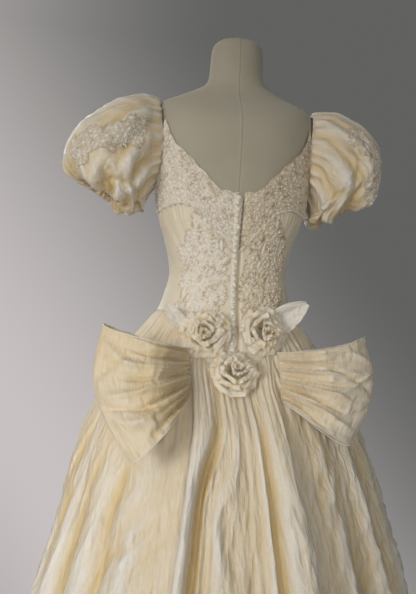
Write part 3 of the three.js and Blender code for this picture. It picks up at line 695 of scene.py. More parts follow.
# Drag lines of the bodice's satin: start and end as angle and height, width and height in mm.
DRAG_LINES = [
    (60, 1165, 66, 1085, 1.6, -1.2), (56, 1172, 61, 1110, 1.4, -0.9), (66, 1150, 72, 1060, 1.5, 1.0),
    (38, 1178, 52, 1080, 2.6, -1.3), (24, 1165, 44, 1060, 3.0, -1.1), (30, 1120, 56, 1020, 3.2, 1.0),
    (116, 1165, 111, 1085, 1.6, -1.2), (122, 1170, 118, 1105, 1.5, -1.0), (110, 1150, 105, 1070, 1.4, 1.0),
    (142, 1176, 128, 1085, 2.6, -1.3), (156, 1165, 138, 1060, 3.0, -1.1), (150, 1110, 126, 1015, 3.2, 1.0),
    (10, 1090, 40, 1040, 3.0, -1.0), (170, 1090, 140, 1040, 3.0, -1.0), (8, 1055, 44, 1022, 3.0, 1.1),
    (172, 1055, 136, 1022, 3.0, 1.1), (-20, 1200, -45, 1110, 3.0, -1.2), (-160, 1200, -135, 1110, 3.0, -1.2),
    (-28, 1150, -62, 1060, 3.0, 1.1), (-152, 1150, -118, 1060, 3.0, 1.1), (-75, 1230, -70, 1120, 2.0, -1.0),
    (-105, 1230, -110, 1120, 2.0, -1.0), (-82, 1000, -70, 930, 2.0, 1.0), (-98, 1000, -110, 930, 2.0, 1.0),
]


def bodice_out(angle, z, top):
    """How far the satin stands out: puckers gathered under the yoke, drag lines, fine creases."""
    below = top - z
    side = angle * BODICE_ARC
    pucker = 0.9 * np.sin(side * 0.72 + 3 * Noise(11)(side / 14, z / 60)) * np.exp(-np.maximum(below, 0) / 26)
    lines = [(BODICE_ARC * a, b, BODICE_ARC * c, d, 2.2 * w, h) for a, b, c, d, w, h in DRAG_LINES]
    drag = soft_creases(side, z, lines)
    return BODICE_OUT + pucker + drag + 0.5 * creases(side, z, 34, 12, 2)


def make_bodice():
    for name, node, start, end, yoked in PANELS:
        columns = int((end - start) * 1.3)
        angle = np.linspace(start, end, columns)[None, :]
        share = np.linspace(0, 1, 72)[:, None]
        low = waist_seam_z(angle) - 1
        high = yoke_seam_z(angle) + 3 if yoked else neckline_z(angle)
        z = mix(low, high, share)
        out = bodice_out(angle, z, high)
        edges = bump((angle - start) * BODICE_ARC, 0, 1.2) + bump((angle - end) * BODICE_ARC, 0, 1.2)
        out = out - 0.9 * edges + 0.5 * bump(z - low, 0, 3)
        if node == "bodice_centre_back_right":
            groove = smooth_step(angle, 91.2, 91.9) * (1 - smooth_step(angle, 93.6, 95.0))
            out = out - (BODICE_OUT - 0.5) * groove
        # painted shade: the satin turns golden in the troughs of its drag lines and puckers
        panel = cloth(name, body_point(angle, z, out), fold=fold_shade(out, 5, 4))
        finished(panel, "satin", [node])


# ---- lace on the bodice --------------------------------------------------------------------


def make_yoke(side, start, end, seed):
    angle = np.linspace(start, end, 210)[None, :]
    share = np.linspace(0, 1, 150)[:, None]
    arc = arc_length(body_point(angle[0], np.full(angle.shape[1], 1200.0), 0))[None, :]
    scallop = 3.2 * np.abs(np.sin(np.pi * arc / 21 + 0.4)) - 1.2
    low = yoke_seam_z(angle) - 3 - 2.2 * np.abs(np.sin(np.pi * arc / 13))
    high = neckline_z(angle) + scallop
    z = mix(low, high, share)
    flowers = scattered(arc.max() + 10, 260, FLOWER_SPACING, seed)
    flowers[:, 1] += 1090
    relief, _ = lace_relief(np.broadcast_to(arc, z.shape), z, flowers)
    edge_cord = 1.2 * bump(share * (high - low), (high - low), 2.0)
    relief = np.maximum(relief, edge_cord)
    out = mix(LACE_EDGE_OUT, LACE_OUT, smooth_step((1 - share) * (high - low), 0, 16)) + relief
    out = out + 0.8 * bump(share * (high - low), 0, 6)
    points = body_point(angle, z, out)
    yoke = cloth(f"yoke_{side}_lace", points, relief=relief / RELIEF_FULL)
    # the right side takes the darker copy of the lace: painted shade
    finished(yoke, "lace", [f"yoke_{side}"], LACE if side == "left" else LACE_SHADED)


BACK_SPRAY = [  # z, near and far as angles from the centre back
    (955, 13, 21), (975, 10, 30), (1000, 7, 41), (1030, 6.5, 50), (1060, 7, 55), (1095, 9, 55),
    (1118, 12, 48), (1135, 17, 40), (1148, 22, 34),
]
spray_near, spray_far = curve_through(BACK_SPRAY, 1), curve_through(BACK_SPRAY, 2)
HIP_SPRIGS = [  # angle from the centre back, z, radius in mm: small sprigs cut from the same lace
    (38, 968, 13), (47, 985, 12), (30, 940, 11),
]


def make_back_spray(side, sign, seed):
    away = np.linspace(3, 62, 135)[None, :]
    z = np.linspace(925, 1178, 215)[:, None]
    angle = 90 + sign * away
    arc = away * SPRAY_ARC
    place_x, place_z = np.broadcast_arrays(arc, z)
    flowers = scattered(140, 262, FLOWER_SPACING, seed)
    flowers[:, 1] += 920
    flower_away, flower_z = flowers[:, 0] / SPRAY_ARC, flowers[:, 1]
    ragged = 3.5 * Noise(seed)(flower_z / 17, 0.5 + flower_away / 40)
    inside = flower_away > spray_near(flower_z) + 0.5 * ragged
    inside &= flower_away < spray_far(flower_z) + ragged
    inside &= (flower_z > 955) & (flower_z < 1166)
    for sprig_away, sprig_z, radius in HIP_SPRIGS:
        inside |= np.hypot((flower_away - sprig_away) * SPRAY_ARC, flower_z - sprig_z) < radius
    relief, covered = lace_relief(place_x, place_z, flowers[inside], 2.1)
    out = bodice_out(angle, z, yoke_seam_z(angle)) + SPRAY_LIFT + relief
    points = body_point(angle, z, out)
    spray = cloth(f"spray_back_{side}_lace", points, flip=sign < 0, keep=covered, relief=relief / RELIEF_FULL)
    # the right side takes the darker copy of the lace: painted shade
    finished(spray, "lace", [f"spray_back_{side}"], LACE if side == "left" else LACE_SHADED)


BEAD_OUT = 2.4  # how far the beads' middles stand off the cloth under the lace
STRING_SPACING, STRING_RADIUS = 3.7, 1.35
BODICE_BEADS, SLEEVE_BEADS = 520, 230
BODICE_SEQUIN_SHARE, SLEEVE_SEQUIN_SHARE = 0.35, 0.45


def pearls_and_sequins(names, places, facing, is_sequin, draw, pearl_radii, sequin_radii):
    """Beads at given places: pearls first, then sequins, with radii drawn between two limits."""
    radii = draw.uniform(*pearl_radii, (~is_sequin).sum())
    pearls = beads(names[0], places[~is_sequin], radii, facing[~is_sequin])
    finished(pearls, "lace", material=PEARL)
    radii = draw.uniform(*sequin_radii, is_sequin.sum())
    sequins = beads(names[1], places[is_sequin], radii, facing[is_sequin], SEQUIN_FLATNESS)
    finished(sequins, "lace", material=SEQUIN)


def make_bodice_beads():
    """A string of pearls along each yoke seam, and sequins and pearls scattered on the lace."""
    draw = np.random.RandomState(41)
    away = np.linspace(2, 88, 2000)
    places, normals = [], []
    for sign in (-1, 1):
        angle = 90 + sign * away
        seam = body_point(angle, yoke_seam_z(angle) - 1, LACE_OUT + BEAD_OUT)
        along = arc_length(seam)
        pick = np.interp(np.arange(0, along[-1], STRING_SPACING), along, angle)
        places.append(body_point(pick, yoke_seam_z(pick) - 1, LACE_OUT + BEAD_OUT))
        normals.append(torso_normal(pick, yoke_seam_z(pick)))
    string = beads("yoke_bead_string", np.concatenate(places), STRING_RADIUS, np.concatenate(normals))
    finished(string, "lace", material=PEARL)

    away = draw.uniform(4, 84, BODICE_BEADS)
    sign = draw.choice([-1, 1], BODICE_BEADS)
    angle = 90 + sign * away
    z = mix(yoke_seam_z(angle) + 4, neckline_z(angle) - 5, draw.uniform(0, 1, BODICE_BEADS))
    low_away = draw.uniform(6, 52, BODICE_BEADS)
    low_z = draw.uniform(965, 1150, BODICE_BEADS)
    on_spray = (low_away > spray_near(low_z) + 2) & (low_away < spray_far(low_z) - 2)
    low_angle = 90 + draw.choice([-1, 1], BODICE_BEADS) * low_away
    angle = np.concatenate([angle, low_angle[on_spray]])
    z = np.concatenate([z, low_z[on_spray]])
    spot = body_point(angle, z, BODICE_OUT + BEAD_OUT)
    facing = torso_normal(angle, z) + 0.35 * draw.normal(size=spot.shape)
    sequins = draw.uniform(0, 1, len(spot)) < BODICE_SEQUIN_SHARE
    names = ("bodice_pearls", "bodice_sequins")
    pearls_and_sequins(names, spot, facing, sequins, draw, (0.8, 1.4), (1.5, 2.3))


# ---- buttons -------------------------------------------------------------------------------

BUTTON_COUNT = 27
BUTTON_TOP, BUTTON_BOTTOM = 1200, 918
BUTTON_RADIUS, BUTTON_HEIGHT = 4.7, 3.312
BUTTON_RINGS, BUTTON_SIDES = 10, 24
PLACKET_HALF = 1.9
PLACKET_BOTTOM, PLACKET_TOP = 908, 1203


def make_buttons():
    angle = np.linspace(90 - PLACKET_HALF, 90 + PLACKET_HALF, 17)[None, :]
    z = np.linspace(PLACKET_BOTTOM, PLACKET_TOP, 240)[:, None]
    across = (angle - 90) / PLACKET_HALF
    out = BODICE_OUT + 2.2 - 1.1 * np.abs(across) ** 4 + 0.25 * np.sin(z / 1.7) * np.abs(across)
    placket = cloth("button_placket_satin", body_point(angle, z, out), flip=False)
    finished(placket, "satin", ["button_placket"])

    heights = np.linspace(BUTTON_TOP, BUTTON_BOTTOM, BUTTON_COUNT)
    draw = np.random.RandomState(7)
    tilt = np.linspace(0.02, 0.62 * np.pi, BUTTON_RINGS)
    dome = ball_points(tilt, BUTTON_SIDES) * [BUTTON_RADIUS, BUTTON_RADIUS, BUTTON_HEIGHT]
    points, faces = [], []
    for number, height in enumerate(heights):
        normal = unit(torso_normal(90.0, height) + 0.10 * draw.normal(size=3))
        basis = facing_basis(normal)
        centre = body_point(90 + 0.25 * draw.normal(), height, BODICE_OUT + 3.6)
        points.append(centre + dome @ basis)
        faces.append(grid_faces(BUTTON_RINGS, BUTTON_SIDES, wrapped=True) + number * len(dome))
    buttons = new_piece("covered_buttons", np.concatenate(points), np.concatenate(faces))
    finished(buttons, "buttons", [f"button_{number:02d}" for number in range(1, BUTTON_COUNT + 1)])

    along = np.linspace(0, BUTTON_COUNT, 700)
    z = BUTTON_TOP + 4 - along * (BUTTON_TOP - BUTTON_BOTTOM) / (BUTTON_COUNT - 1)
    swing = 0.5 - 0.5 * np.cos(2 * np.pi * along)
    angle = 90 + mix(0.6, 2.35, swing)
    loops = tube("button_loops", body_point(angle, z, BODICE_OUT + 3.0), 0.55, 6)
    finished(loops, "buttons")


# ---- sleeves -------------------------------------------------------------------------------

SLEEVES = {  # ring by ring from the armhole: x, z, tilt in degrees, half height, half depth
    "left": [
        (154, 1312, 0, 80, 56), (166, 1306, 2, 96, 76), (190, 1294, 10, 107, 92),
        (218, 1274, 25, 107, 102), (243, 1254, 42, 101, 104), (256, 1230, 55, 88, 96),
        (257, 1212, 58, 74, 81), (254, 1206, 58, 54, 58), (248, 1214, 57, 42, 45),
    ],
    "right": [
        (154, 1310, 0, 78, 56), (165, 1300, 4, 96, 76), (186, 1284, 12, 110, 90),
        (210, 1268, 27, 110, 98), (226, 1248, 45, 98, 100), (229, 1224, 58, 82, 92),
        (228, 1204, 62, 68, 77), (225, 1197, 62, 51, 56), (218, 1204, 61, 41, 44),
    ],
}
LAST_RING = 8
SLEEVE_SEAT = 6.2
BAND_WIDTH = 12
SLEEVE_GRID = (122, 217)  # rings and columns
RING_MM = 34  # about how far apart the rings lie along the cloth
# Folds, listed one by one: start and end as degrees round from the top and as ring, width, height in mm.
SLEEVE_FOLDS = {
    "left": [
        (18, 0.2, 34, 4.2, 9, 6), (36, 0.2, 62, 3.6, 8, -6), (50, 0.3, 84, 4.6, 11, 7),
        (68, 0.2, 96, 3.4, 8, -6),
        (86, 0.3, 112, 4.4, 13, 8), (104, 0.2, 122, 3.2, 7, -7), (120, 0.3, 132, 4.6, 12, 7),
        (138, 0.2, 150, 3.4, 8, -6), (6, 0.2, 12, 3.2, 7, -5), (-14, 0.2, -20, 4.0, 9, 6),
        (60, 5.0, 96, 7.2, 10, 7), (92, 4.8, 118, 7.0, 8, -8), (120, 5.0, 150, 7.2, 12, 8),
        (30, 5.4, 52, 7.4, 9, -7),
        (160, 4.6, 186, 7.0, 11, -7), (-40, 0.2, -60, 3.8, 9, -6), (-64, 0.3, -92, 4.4, 11, 7),
        (-96, 0.2, -118, 3.6, 9, -6), (-130, 0.2, -146, 4.2, 11, 6), (-60, 5.0, -90, 7.2, 10, -7),
        (-110, 4.8, -140, 7.0, 11, 7), (-10, 5.2, 14, 7.2, 9, 7), (180, 0.2, 178, 3.6, 9, -6),
        (150, 2.0, 100, 5.4, 9, -5), (40, 3.6, 100, 4.6, 9, -4),
    ],
    "right": [
        (14, 0.2, 22, 4.0, 8, 6), (30, 0.2, 48, 3.6, 7, -7), (46, 0.3, 70, 4.6, 10, 7),
        (64, 0.2, 86, 3.4, 8, -6),
        (84, 0.3, 104, 4.6, 14, 7), (108, 0.2, 120, 3.0, 8, -6), (126, 0.3, 140, 4.4, 12, 6),
        (146, 0.2, 160, 3.4, 8, -6), (0, 0.2, -6, 3.4, 7, -6), (-20, 0.2, -34, 4.0, 9, 6),
        (50, 5.0, 80, 7.2, 11, 8), (84, 4.8, 104, 7.0, 8, -8), (112, 5.0, 136, 7.2, 12, 9),
        (20, 5.2, 40, 7.4, 9, -7),
        (150, 4.6, 176, 7.0, 11, -8), (-46, 0.2, -64, 3.8, 9, -6), (-70, 0.3, -94, 4.4, 11, 7),
        (-100, 0.2, -120, 3.6, 9, -6), (-136, 0.2, -150, 4.2, 11, 6), (-56, 5.0, -84, 7.2, 10, -7),
        (-104, 4.8, -136, 7.0, 11, 7), (-14, 5.2, 8, 7.2, 9, 7), (180, 0.2, 186, 3.6, 9, -6),
        (132, 2.2, 96, 5.0, 9, -5), (60, 2.6, 96, 4.2, 8, -4),
    ],
}


def torso_side_x(y, z):
    depth = np.where(y > 0, torso_back(z), torso_front(z))
    share = np.minimum(1, np.abs(y - torso_lean(z)) / depth)
    return torso_half(z) * (1 - share**ROUNDNESS) ** (1 / ROUNDNESS)


def sleeve_ring(side, ring, turn, wider=0.0):
    """Points round a sleeve, from its top round by the back: ring and turn may be whole grids."""
    rows = [(number, *row) for number, row in enumerate(SLEEVES[side])]
    x, z, tilt, tall, deep = (curve_through(rows, value)(ring) for value in range(1, 6))
    tilt, angle = np.radians(tilt), np.radians(turn)
    up = (tall + wider) * np.cos(angle)
    y = (deep + wider) * np.sin(angle)
    height = z + up * np.cos(tilt)
    seat = torso_side_x(np.clip(y, -60, 60), height) + SLEEVE_SEAT
    side_x = mix(seat, x + up * np.sin(tilt), smooth_step(ring, 0, 1.0))
    return np.stack(np.broadcast_arrays(side_x, y, height), axis=-1)


def make_sleeve(side, sign, seed):
    turn = np.linspace(0, 360, SLEEVE_GRID[1])[None, :]
    ring = np.linspace(0, LAST_RING, SLEEVE_GRID[0])[:, None]
    base = sleeve_ring(side, ring, turn)
    outward = grid_normals(base)
    if outward[:, 0, 2].mean() < 0:  # the sleeve's top faces up
        outward = -outward
    centred = (turn + 180) % 360 - 180
    round_mm = centred * SLEEVE_ARC
    table = [
        (SLEEVE_ARC * a, RING_MM * b, SLEEVE_ARC * c, RING_MM * d, width, height)
        for a, b, c, d, width, height in SLEEVE_FOLDS[side]
    ]
    folds = soft_creases(round_mm, ring * RING_MM, table)
    wobble = 26 * Noise(seed + 2)(np.cos(np.radians(turn)) * 2 + ring / 4, np.sin(np.radians(turn)) * 2)
    gathers = np.cos(np.radians(24 * turn) + wobble / 10) * 2.6 * (1 - smooth_step(ring, 0.1, 2.4))
    gathers = gathers + np.cos(np.radians(28 * turn) + wobble / 8) * 3.0 * smooth_step(ring, 6.0, 7.7)
    circle_x, circle_y = np.cos(np.radians(turn)), np.sin(np.radians(turn))
    crumple = 4.6 * creases(circle_x * 90 + ring * 14, circle_y * 90 + ring * 30, 62, seed, 3) - 2.5
    crumple = crumple + 1.6 * creases(circle_x * 90 + ring * 9, circle_y * 90 + ring * 22, 23, seed + 6, 2)
    belly = smooth_step(ring, 0.4, 2.6) * (1 - smooth_step(ring, 6.9, 7.9))
    lumps = 7.0 * np.cos(np.radians(7 * turn) + wobble / 5 + 0.6 * ring) * bump(ring, 6.1, 1.1)
    out = folds * (0.35 + 0.65 * belly) + gathers + crumple * belly + lumps
    out = out * smooth_step(ring, -0.1, 0.5)
    points = base + outward * out[..., None]
    points[:, -1] = points[:, 0]
    points[..., 0] *= sign
    # painted shade: golden in the folds' troughs and over the puff's underside towards the band
    tone = np.clip(fold_shade(out, 8, 12) + 0.35 * smooth_step(ring, 4.5, 7), 0, 1)
    sleeve = cloth(f"sleeve_{side}_taffeta", points, flip=sign > 0, fold=tone)
    finished(sleeve, "taffeta", [f"sleeve_{side}"])

    turn = np.linspace(0, 360, 160)
    armhole = sleeve_ring(side, np.full(160, 0.02), turn, 1.0) * [sign, 1, 1]
    roll = tube(f"armhole_binding_{side}", armhole[:-1], 2.0, 8, closed=True)
    finished(roll, "satin")
    make_band(side, sign)
    make_sleeve_spray(side, sign, points, seed)


def make_band(side, sign):
    tilt = math.radians(SLEEVES[side][LAST_RING][2])
    along = np.array([math.cos(tilt), 0, -math.sin(tilt)])
    turn = np.linspace(0, 360, 121)[None, :]
    down = np.linspace(0, 1, 12)[:, None]
    ring = sleeve_ring(side, np.full(turn.shape, float(LAST_RING)), turn, 0.0)
    swell = 1.1 * np.sin(np.pi * down) + 0.3 * np.sin(np.radians(30 * turn)) * (1 - down)
    points = ring - (1 + BAND_WIDTH * down)[..., None] * along
    points = points + swell[..., None] * np.stack(
        [0 * turn, np.sin(np.radians(turn)), np.cos(np.radians(turn))], axis=-1)
    points[..., 0] *= sign
    band = cloth(f"sleeve_band_{side}_satin", points, flip=sign > 0)
    finished(band, "satin", [f"sleeve_band_{side}"])


SPRAY_LIFT = 0.9  # the back of the lace off the cloth under it
SLEEVE_SPRAY_AXIS = {  # the spray's middle line: start and end as degrees round and as ring, its half width
    "left": (84, 1.9, 46, 5.3, 29),
    "right": (46, 2.7, 66, 5.4, 25),
}


def make_sleeve_spray(side, sign, points, seed):
    """Lace laid over the sleeve, on a finer grid of the sleeve's own points."""
    start_turn, start_ring, end_turn, end_ring, half = SLEEVE_SPRAY_AXIS[side]
    fine_ring = np.linspace(1.2, 6.4, 240)
    fine_turn = np.linspace(10, 130, 250)
    rows = fine_ring / LAST_RING * (points.shape[0] - 1)
    columns = fine_turn / 360 * (points.shape[1] - 1)
    lower, left = np.floor(rows).astype(int), np.floor(columns).astype(int)
    v, u = (rows - lower)[:, None, None], (columns - left)[None, :, None]
    above = mix(points[np.ix_(lower, left)], points[np.ix_(lower, left + 1)], u)
    under = mix(points[np.ix_(lower + 1, left)], points[np.ix_(lower + 1, left + 1)], u)
    fine = mix(above, under, v)
    mm_round = fine_turn[None, :] * SLEEVE_SPRAY_ARC
    mm_down = fine_ring[:, None] * RING_MM
    x, y = np.broadcast_arrays(mm_round, mm_down)
    flowers = scattered(230, 230, FLOWER_SPACING, seed)
    first = np.array([start_turn * SLEEVE_SPRAY_ARC, start_ring * RING_MM])
    last = np.array([end_turn * SLEEVE_SPRAY_ARC, end_ring * RING_MM])
    run = (last - first) / np.linalg.norm(last - first)
    along = (flowers[:, :2] - first) @ run
    aside = (flowers[:, 0] - first[0]) * run[1] - (flowers[:, 1] - first[1]) * run[0]
    length = np.linalg.norm(last - first)
    wavering = half * (0.75 + 0.35 * Noise(seed + 1)(flowers[:, 0] / 21, flowers[:, 1] / 21))
    inside = (along > -8) & (along < length + 8) & (np.abs(aside) < wavering)
    relief, covered = lace_relief(x, y, flowers[inside], 1.3)
    outward = grid_normals(fine)
    centre = points.mean(axis=(0, 1))
    if ((fine - centre) * outward).sum(axis=-1).mean() < 0:
        outward = -outward
    raised = fine + outward * (SPRAY_LIFT + relief)[..., None]
    tone = relief / RELIEF_FULL
    spray = cloth(f"spray_sleeve_{side}_lace", raised, flip=sign > 0, keep=covered, relief=tone)
    finished(spray, "lace", [f"spray_sleeve_{side}"])
    width, length = FLAT["spray_sleeve"]

    draw = np.random.RandomState(seed + 5)
    spots = np.argwhere(covered)
    spots = spots[draw.choice(len(spots), SLEEVE_BEADS, replace=False)]
    places = raised[spots[:, 0], spots[:, 1]]
    facing = outward[spots[:, 0], spots[:, 1]] + 0.4 * draw.normal(size=places.shape)
    discs = draw.uniform(0, 1, len(places)) < SLEEVE_SEQUIN_SHARE
    names = (f"sleeve_pearls_{side}", f"sleeve_sequins_{side}")
    pearls_and_sequins(names, places, facing, discs, draw, (0.8, 1.5), (1.7, 2.6))


# ---- skirt ---------------------------------------------------------------------------------

SKIRT_PANELS = [  # CAD node, from and to in degrees
    ("skirt_back", 63, 117), ("skirt_left", -27, 63), ("skirt_front", -153, -27), ("skirt_right", 117, 207),
]
SKIRT_FOLDS = 21
# Folds, listed one by one: angle at the waist and at the hem, width in degrees, height in mm, and the share
# of the way down where each begins.
FOLDS = [
    (58, 50, 5.0, 15, 0.05), (50, 38, 3.4, -13, 0.03), (45, 31, 4.2, 16, 0.10),
    (38, 22, 4.6, -13, 0.05), (31, 13, 3.6, 14, 0.02), (25, 6, 4.4, -12, 0.12), (17, -1, 4.0, 13, 0.04),
    (8, -9, 4.6, -14, 0.02), (0, -17, 3.8, 14, 0.08), (-9, -25, 4.6, -12, 0.04),
    (-18, -33, 4.0, 15, 0.03), (-27, -42, 4.8, -13, 0.10), (-38, -50, 3.8, 14, 0.02),
    (-47, -58, 4.4, -14, 0.06), (-57, -66, 4.6, 16, 0.04), (-68, -75, 4.0, -13, 0.02),
    (-78, -83, 4.2, 14, 0.08), (-90, -91, 4.8, -13, 0.03), (-101, -99, 4.0, 15, 0.05),
    (-112, -107, 4.4, -12, 0.09), (-121, -116, 4.0, 15, 0.02), (-131, -125, 4.6, -14, 0.06),
    (-141, -134, 3.8, 13, 0.03), (-150, -143, 4.6, -13, 0.10), (200, 208, 4.2, 14, 0.04),
    (191, 199, 4.4, -13, 0.02), (182, 191, 3.8, 14, 0.07), (173, 184, 4.6, -13, 0.03),
    (164, 176, 4.0, 14, 0.10), (156, 168, 4.4, -12, 0.02), (149, 159, 4.0, 13, 0.06),
    (141, 150, 4.6, -14, 0.03), (134, 141, 3.6, 15, 0.02), (126, 131, 4.2, -13, 0.08),
    (121, 124, 3.4, 12, 0.05),
]


def fold_depth(angle, below):
    under_drape = mix(0.25, 1, smooth_step(away_from_back(angle), 22, 42))
    return under_drape * (5 * smooth_step(below, 0, 60) + 15 * smooth_step(below, 60, 800))


def fold_wave(angle):
    angle = np.radians(angle)
    uneven = np.radians(24 * np.sin(2 * angle + np.radians(40)) + 18 * np.sin(5 * angle))
    strength = 0.8 + 0.2 * np.sin(3 * angle + np.radians(70))
    return strength * np.cos(SKIRT_FOLDS * angle + uneven)


def skirt_point(angle, z, out, smooth=0.0):
    """The skirt, or a surface out from it. Smooth takes away plain folds where finer ones replace them."""
    angle, z, out = np.broadcast_arrays(*(np.asarray(v, float) for v in (angle, z, out)))
    below = waist_seam_z(angle) - z
    opened = smooth_step(below, -SKIRT_SPRING / 2, SKIRT_SPRING)
    start = smooth_step(0, -SKIRT_SPRING / 2, SKIRT_SPRING)
    share = ((opened - start) / (1 - start))[..., None]
    fold = fold_depth(angle, below) * fold_wave(angle) * (1 - smooth)
    full = oval(angle, z, skirt_half(z), skirt_front(z), skirt_back(z), 0, 2)
    full[..., 0] -= skirt_sway(z)
    point = mix(body_point(angle, z, BODICE_OUT), full, share)
    level = point * [1, 1, 0]
    point = point + unit(level) * (fold + out)[..., None]
    point[..., 2] = z
    return point


def skirt_radius(below):
    """About how far the skirt is from its axis, for lengths round it."""
    return 110 + 0.38 * below


def hand_folds(angle, share, below):
    total = np.zeros(np.broadcast(angle, share).shape)
    for at_waist, at_hem, width, height, begins in FOLDS:
        middle = mix(at_waist, at_hem, share**0.8)
        off = (angle - middle + 180) % 360 - 180
        wide = width * (0.55 + 0.45 * share)
        grown = smooth_step(share, begins - 0.04, begins + 0.5) * (0.25 + 0.75 * smooth_step(below, 60, 700))
        total = total + height * grown * np.exp(-np.abs(off / wide) ** 1.6)
    return total


def skirt_relief(angle, share, below):
    """Gathers at the waist, folds and the crumpled creases of stiff taffeta."""
    free = mix(0.3, 1, smooth_step(away_from_back(angle), 20, 34))
    theta = np.radians(angle)
    around = theta * skirt_radius(below)
    circle_x, circle_y = np.cos(theta) * 190, np.sin(theta) * 190
    wander = 2.2 * Noise(21)(circle_x / 60 + 7, circle_y / 60 + below / 160)
    wander = wander + 1.3 * Noise(22)(circle_x / 20, circle_y / 20 + below / 90)
    gathers = np.cos(76 * theta + 2.4 * wander) + 0.6 * np.cos(131 * theta + 3.1 * wander)
    gathers = gathers * 1.9 * smooth_step(below, -2, 16) * (1 - smooth_step(below, 40, 210))
    long_creases = creases(around, below * 0.15 + 14 * wander, 40, 24, 3)
    long_creases = long_creases * 5.5 * smooth_step(below, 20, 330)
    slanted = creases(around + 0.35 * below, below * 0.3, 78, 31, 2) * 3.2 * smooth_step(below, 60, 380)
    fine = creases(around + 0.15 * below, below * 0.3, 15, 37, 2) * 1.7 * smooth_step(below, 10, 160)
    large = hand_folds(angle, share, below) + long_creases + slanted
    return free * large + gathers + fine * mix(0.5, 1, free)


def make_skirt():
    for node, start, end in SKIRT_PANELS:
        angle = np.linspace(start, end, int((end - start) * 2.0))[None, :]
        share = np.linspace(0, 1, 140)[:, None] ** 1.15
        top = waist_seam_z(angle) + 1
        z = mix(top, HEM_Z, share)
        below = top - z
        out = skirt_relief(angle, share, below)
        low_free = smooth_step(z - HEM_Z, -1, 8)
        hem = 1.2 * bump(z - HEM_Z, 0, 5) - 0.8 * bump(z - HEM_Z, 46, 3)
        from_start, from_end = np.radians(angle - start), np.radians(angle - end)
        edges = bump(from_start * skirt_radius(below), 0, 2.2) + bump(from_end * skirt_radius(below), 0, 2.2)
        out = out - 1.3 * edges * smooth_step(below, 0, 30) + hem * low_free
        out = out - 1.4 * (1 - smooth_step(below, 0, 5))
        # painted shade: golden in the troughs of the skirt's folds
        tone = fold_shade(out, 9, 12)
        panel = cloth(f"{node}_taffeta", skirt_point(angle, z, out, smooth=0.55), flip=True, fold=tone)
        finished(panel, "taffeta", [node])


# ---- the pleated panel down the back -------------------------------------------------------

DRAPE = [  # share of the way down, half width in degrees, how far it stands out
    (0, 27, 0.7), (0.06, 20.5, 7), (0.14, 18, 12), (0.4, 21, 16), (1, 25, 18),
]
DRAPE_PLEATS = [  # place across from the wearer's left, -1, to the right, 1, and height in mm
    (-1.0, 3), (-0.96, 20), (-0.88, 34), (-0.78, 38), (-0.68, 33), (-0.62, 20), (-0.57, 4), (-0.52, -2),
    (-0.47, -1), (-0.42, 9), (-0.37, 14), (-0.30, 10), (-0.22, 11), (-0.15, 19), (-0.08, 21), (-0.02, 11),
    (0.06, 9), (0.13, 13), (0.2, 12), (0.25, 14), (0.29, 25), (0.32, 26), (0.35, 10), (0.40, 6), (0.45, 10),
    (0.51, 29), (0.60, 38), (0.72, 39), (0.86, 33), (0.94, 20), (1.0, 3),
]
drape_half, drape_out = curve_through(DRAPE, 1), curve_through(DRAPE, 2)
drape_pleat = curve_through(DRAPE_PLEATS, 1)


def make_drape():
    across = np.linspace(-1, 1, 220)[None, :]
    share = np.linspace(0, 1, 136)[:, None]
    sway = 0.05 * Noise(61)(share * 3.2, 0.3 + across * 1.5) + 0.02 * Noise(62)(share * 11, across * 4)
    half = drape_half(share)
    angle = 90 + across * half
    top = waist_seam_z(angle) - 1.2
    z = mix(top, DRAPE_HEM_Z, share)
    slide = mix(-0.12, 0.36, smooth_step(share, 0.08, 0.27)) * smooth_step(-across, -0.1, 0.5)
    moved = np.clip(across + (slide + sway * smooth_step(share, 0.02, 0.2)) * (1 - across**4), -1, 1)
    flatter = mix(0.55, 1.0, smooth_step(share, 0.02, 0.30))
    lift = 1 + 0.45 * smooth_step(-across, 0.35, 0.6) * bump(share, 0.16, 0.12)
    depth = lift * drape_out(share) / 18 * (drape_pleat(moved) * flatter + 1.5)
    theta_mm = across * half * np.radians(1) * (120 + 300 * share)
    below = top - z
    crinkle = creases(theta_mm, below * 0.22, 30, 64, 3) * 4.0 * smooth_step(share, 0.03, 0.35)
    fine = creases(theta_mm + 0.3 * below, below * 0.5, 20, 68, 2)
    crinkle = crinkle + fine * 1.7 * smooth_step(share, 0.01, 0.2)
    right = smooth_step(across, 0.45, 0.7)
    crinkle = crinkle * (0.75 + 0.8 * right)
    gather = np.cos(across * 44 + 2.5 * Noise(66)(across * 6, share * 9)) * 1.8
    gather = gather * bump(share, 0.04, 0.07)
    edge = 1 - np.abs(across) ** 14
    out = np.maximum(depth + (crinkle + gather) * edge, 1.0) + 2.4 * smooth_step(share, 0, 0.05)
    # painted shade: golden in the pleats' troughs, and a painted shadow band about a quarter of the way in
    # from the wearer's left edge, from a little below the top down
    tone = np.maximum(fold_shade(out, 14, 16), 1.0 * bump(moved, -0.46, 0.15) * smooth_step(share, 0.05, 0.2))
    drape = cloth("back_drape_taffeta", skirt_point(angle, z, out), flip=True, fold=tone)
    finished(drape, "taffeta", ["back_drape"])


# ---- bow -----------------------------------------------------------------------------------

LOOPS = {  # gather, then the fold at the end: top x and z, bottom x and z, bulge
    "left": (80, 236, 951, 178, 733, 37),
    "right": (85, 236, 948, 188, 766, 30),
}
LOOP_GATHER = (914, 832, 10)
LOOP_BELLY = 62
LOOP_REACH, LOOP_HEIGHT = 165, 190  # of the cloth, from the gather to the fold and down it
LOOP_GRID = (94, 180)  # rows down the cloth and columns along it
HEM_EDGE_RADIUS = 1.1
LOOP_REST = (150, 0.42, 0.2, 150)
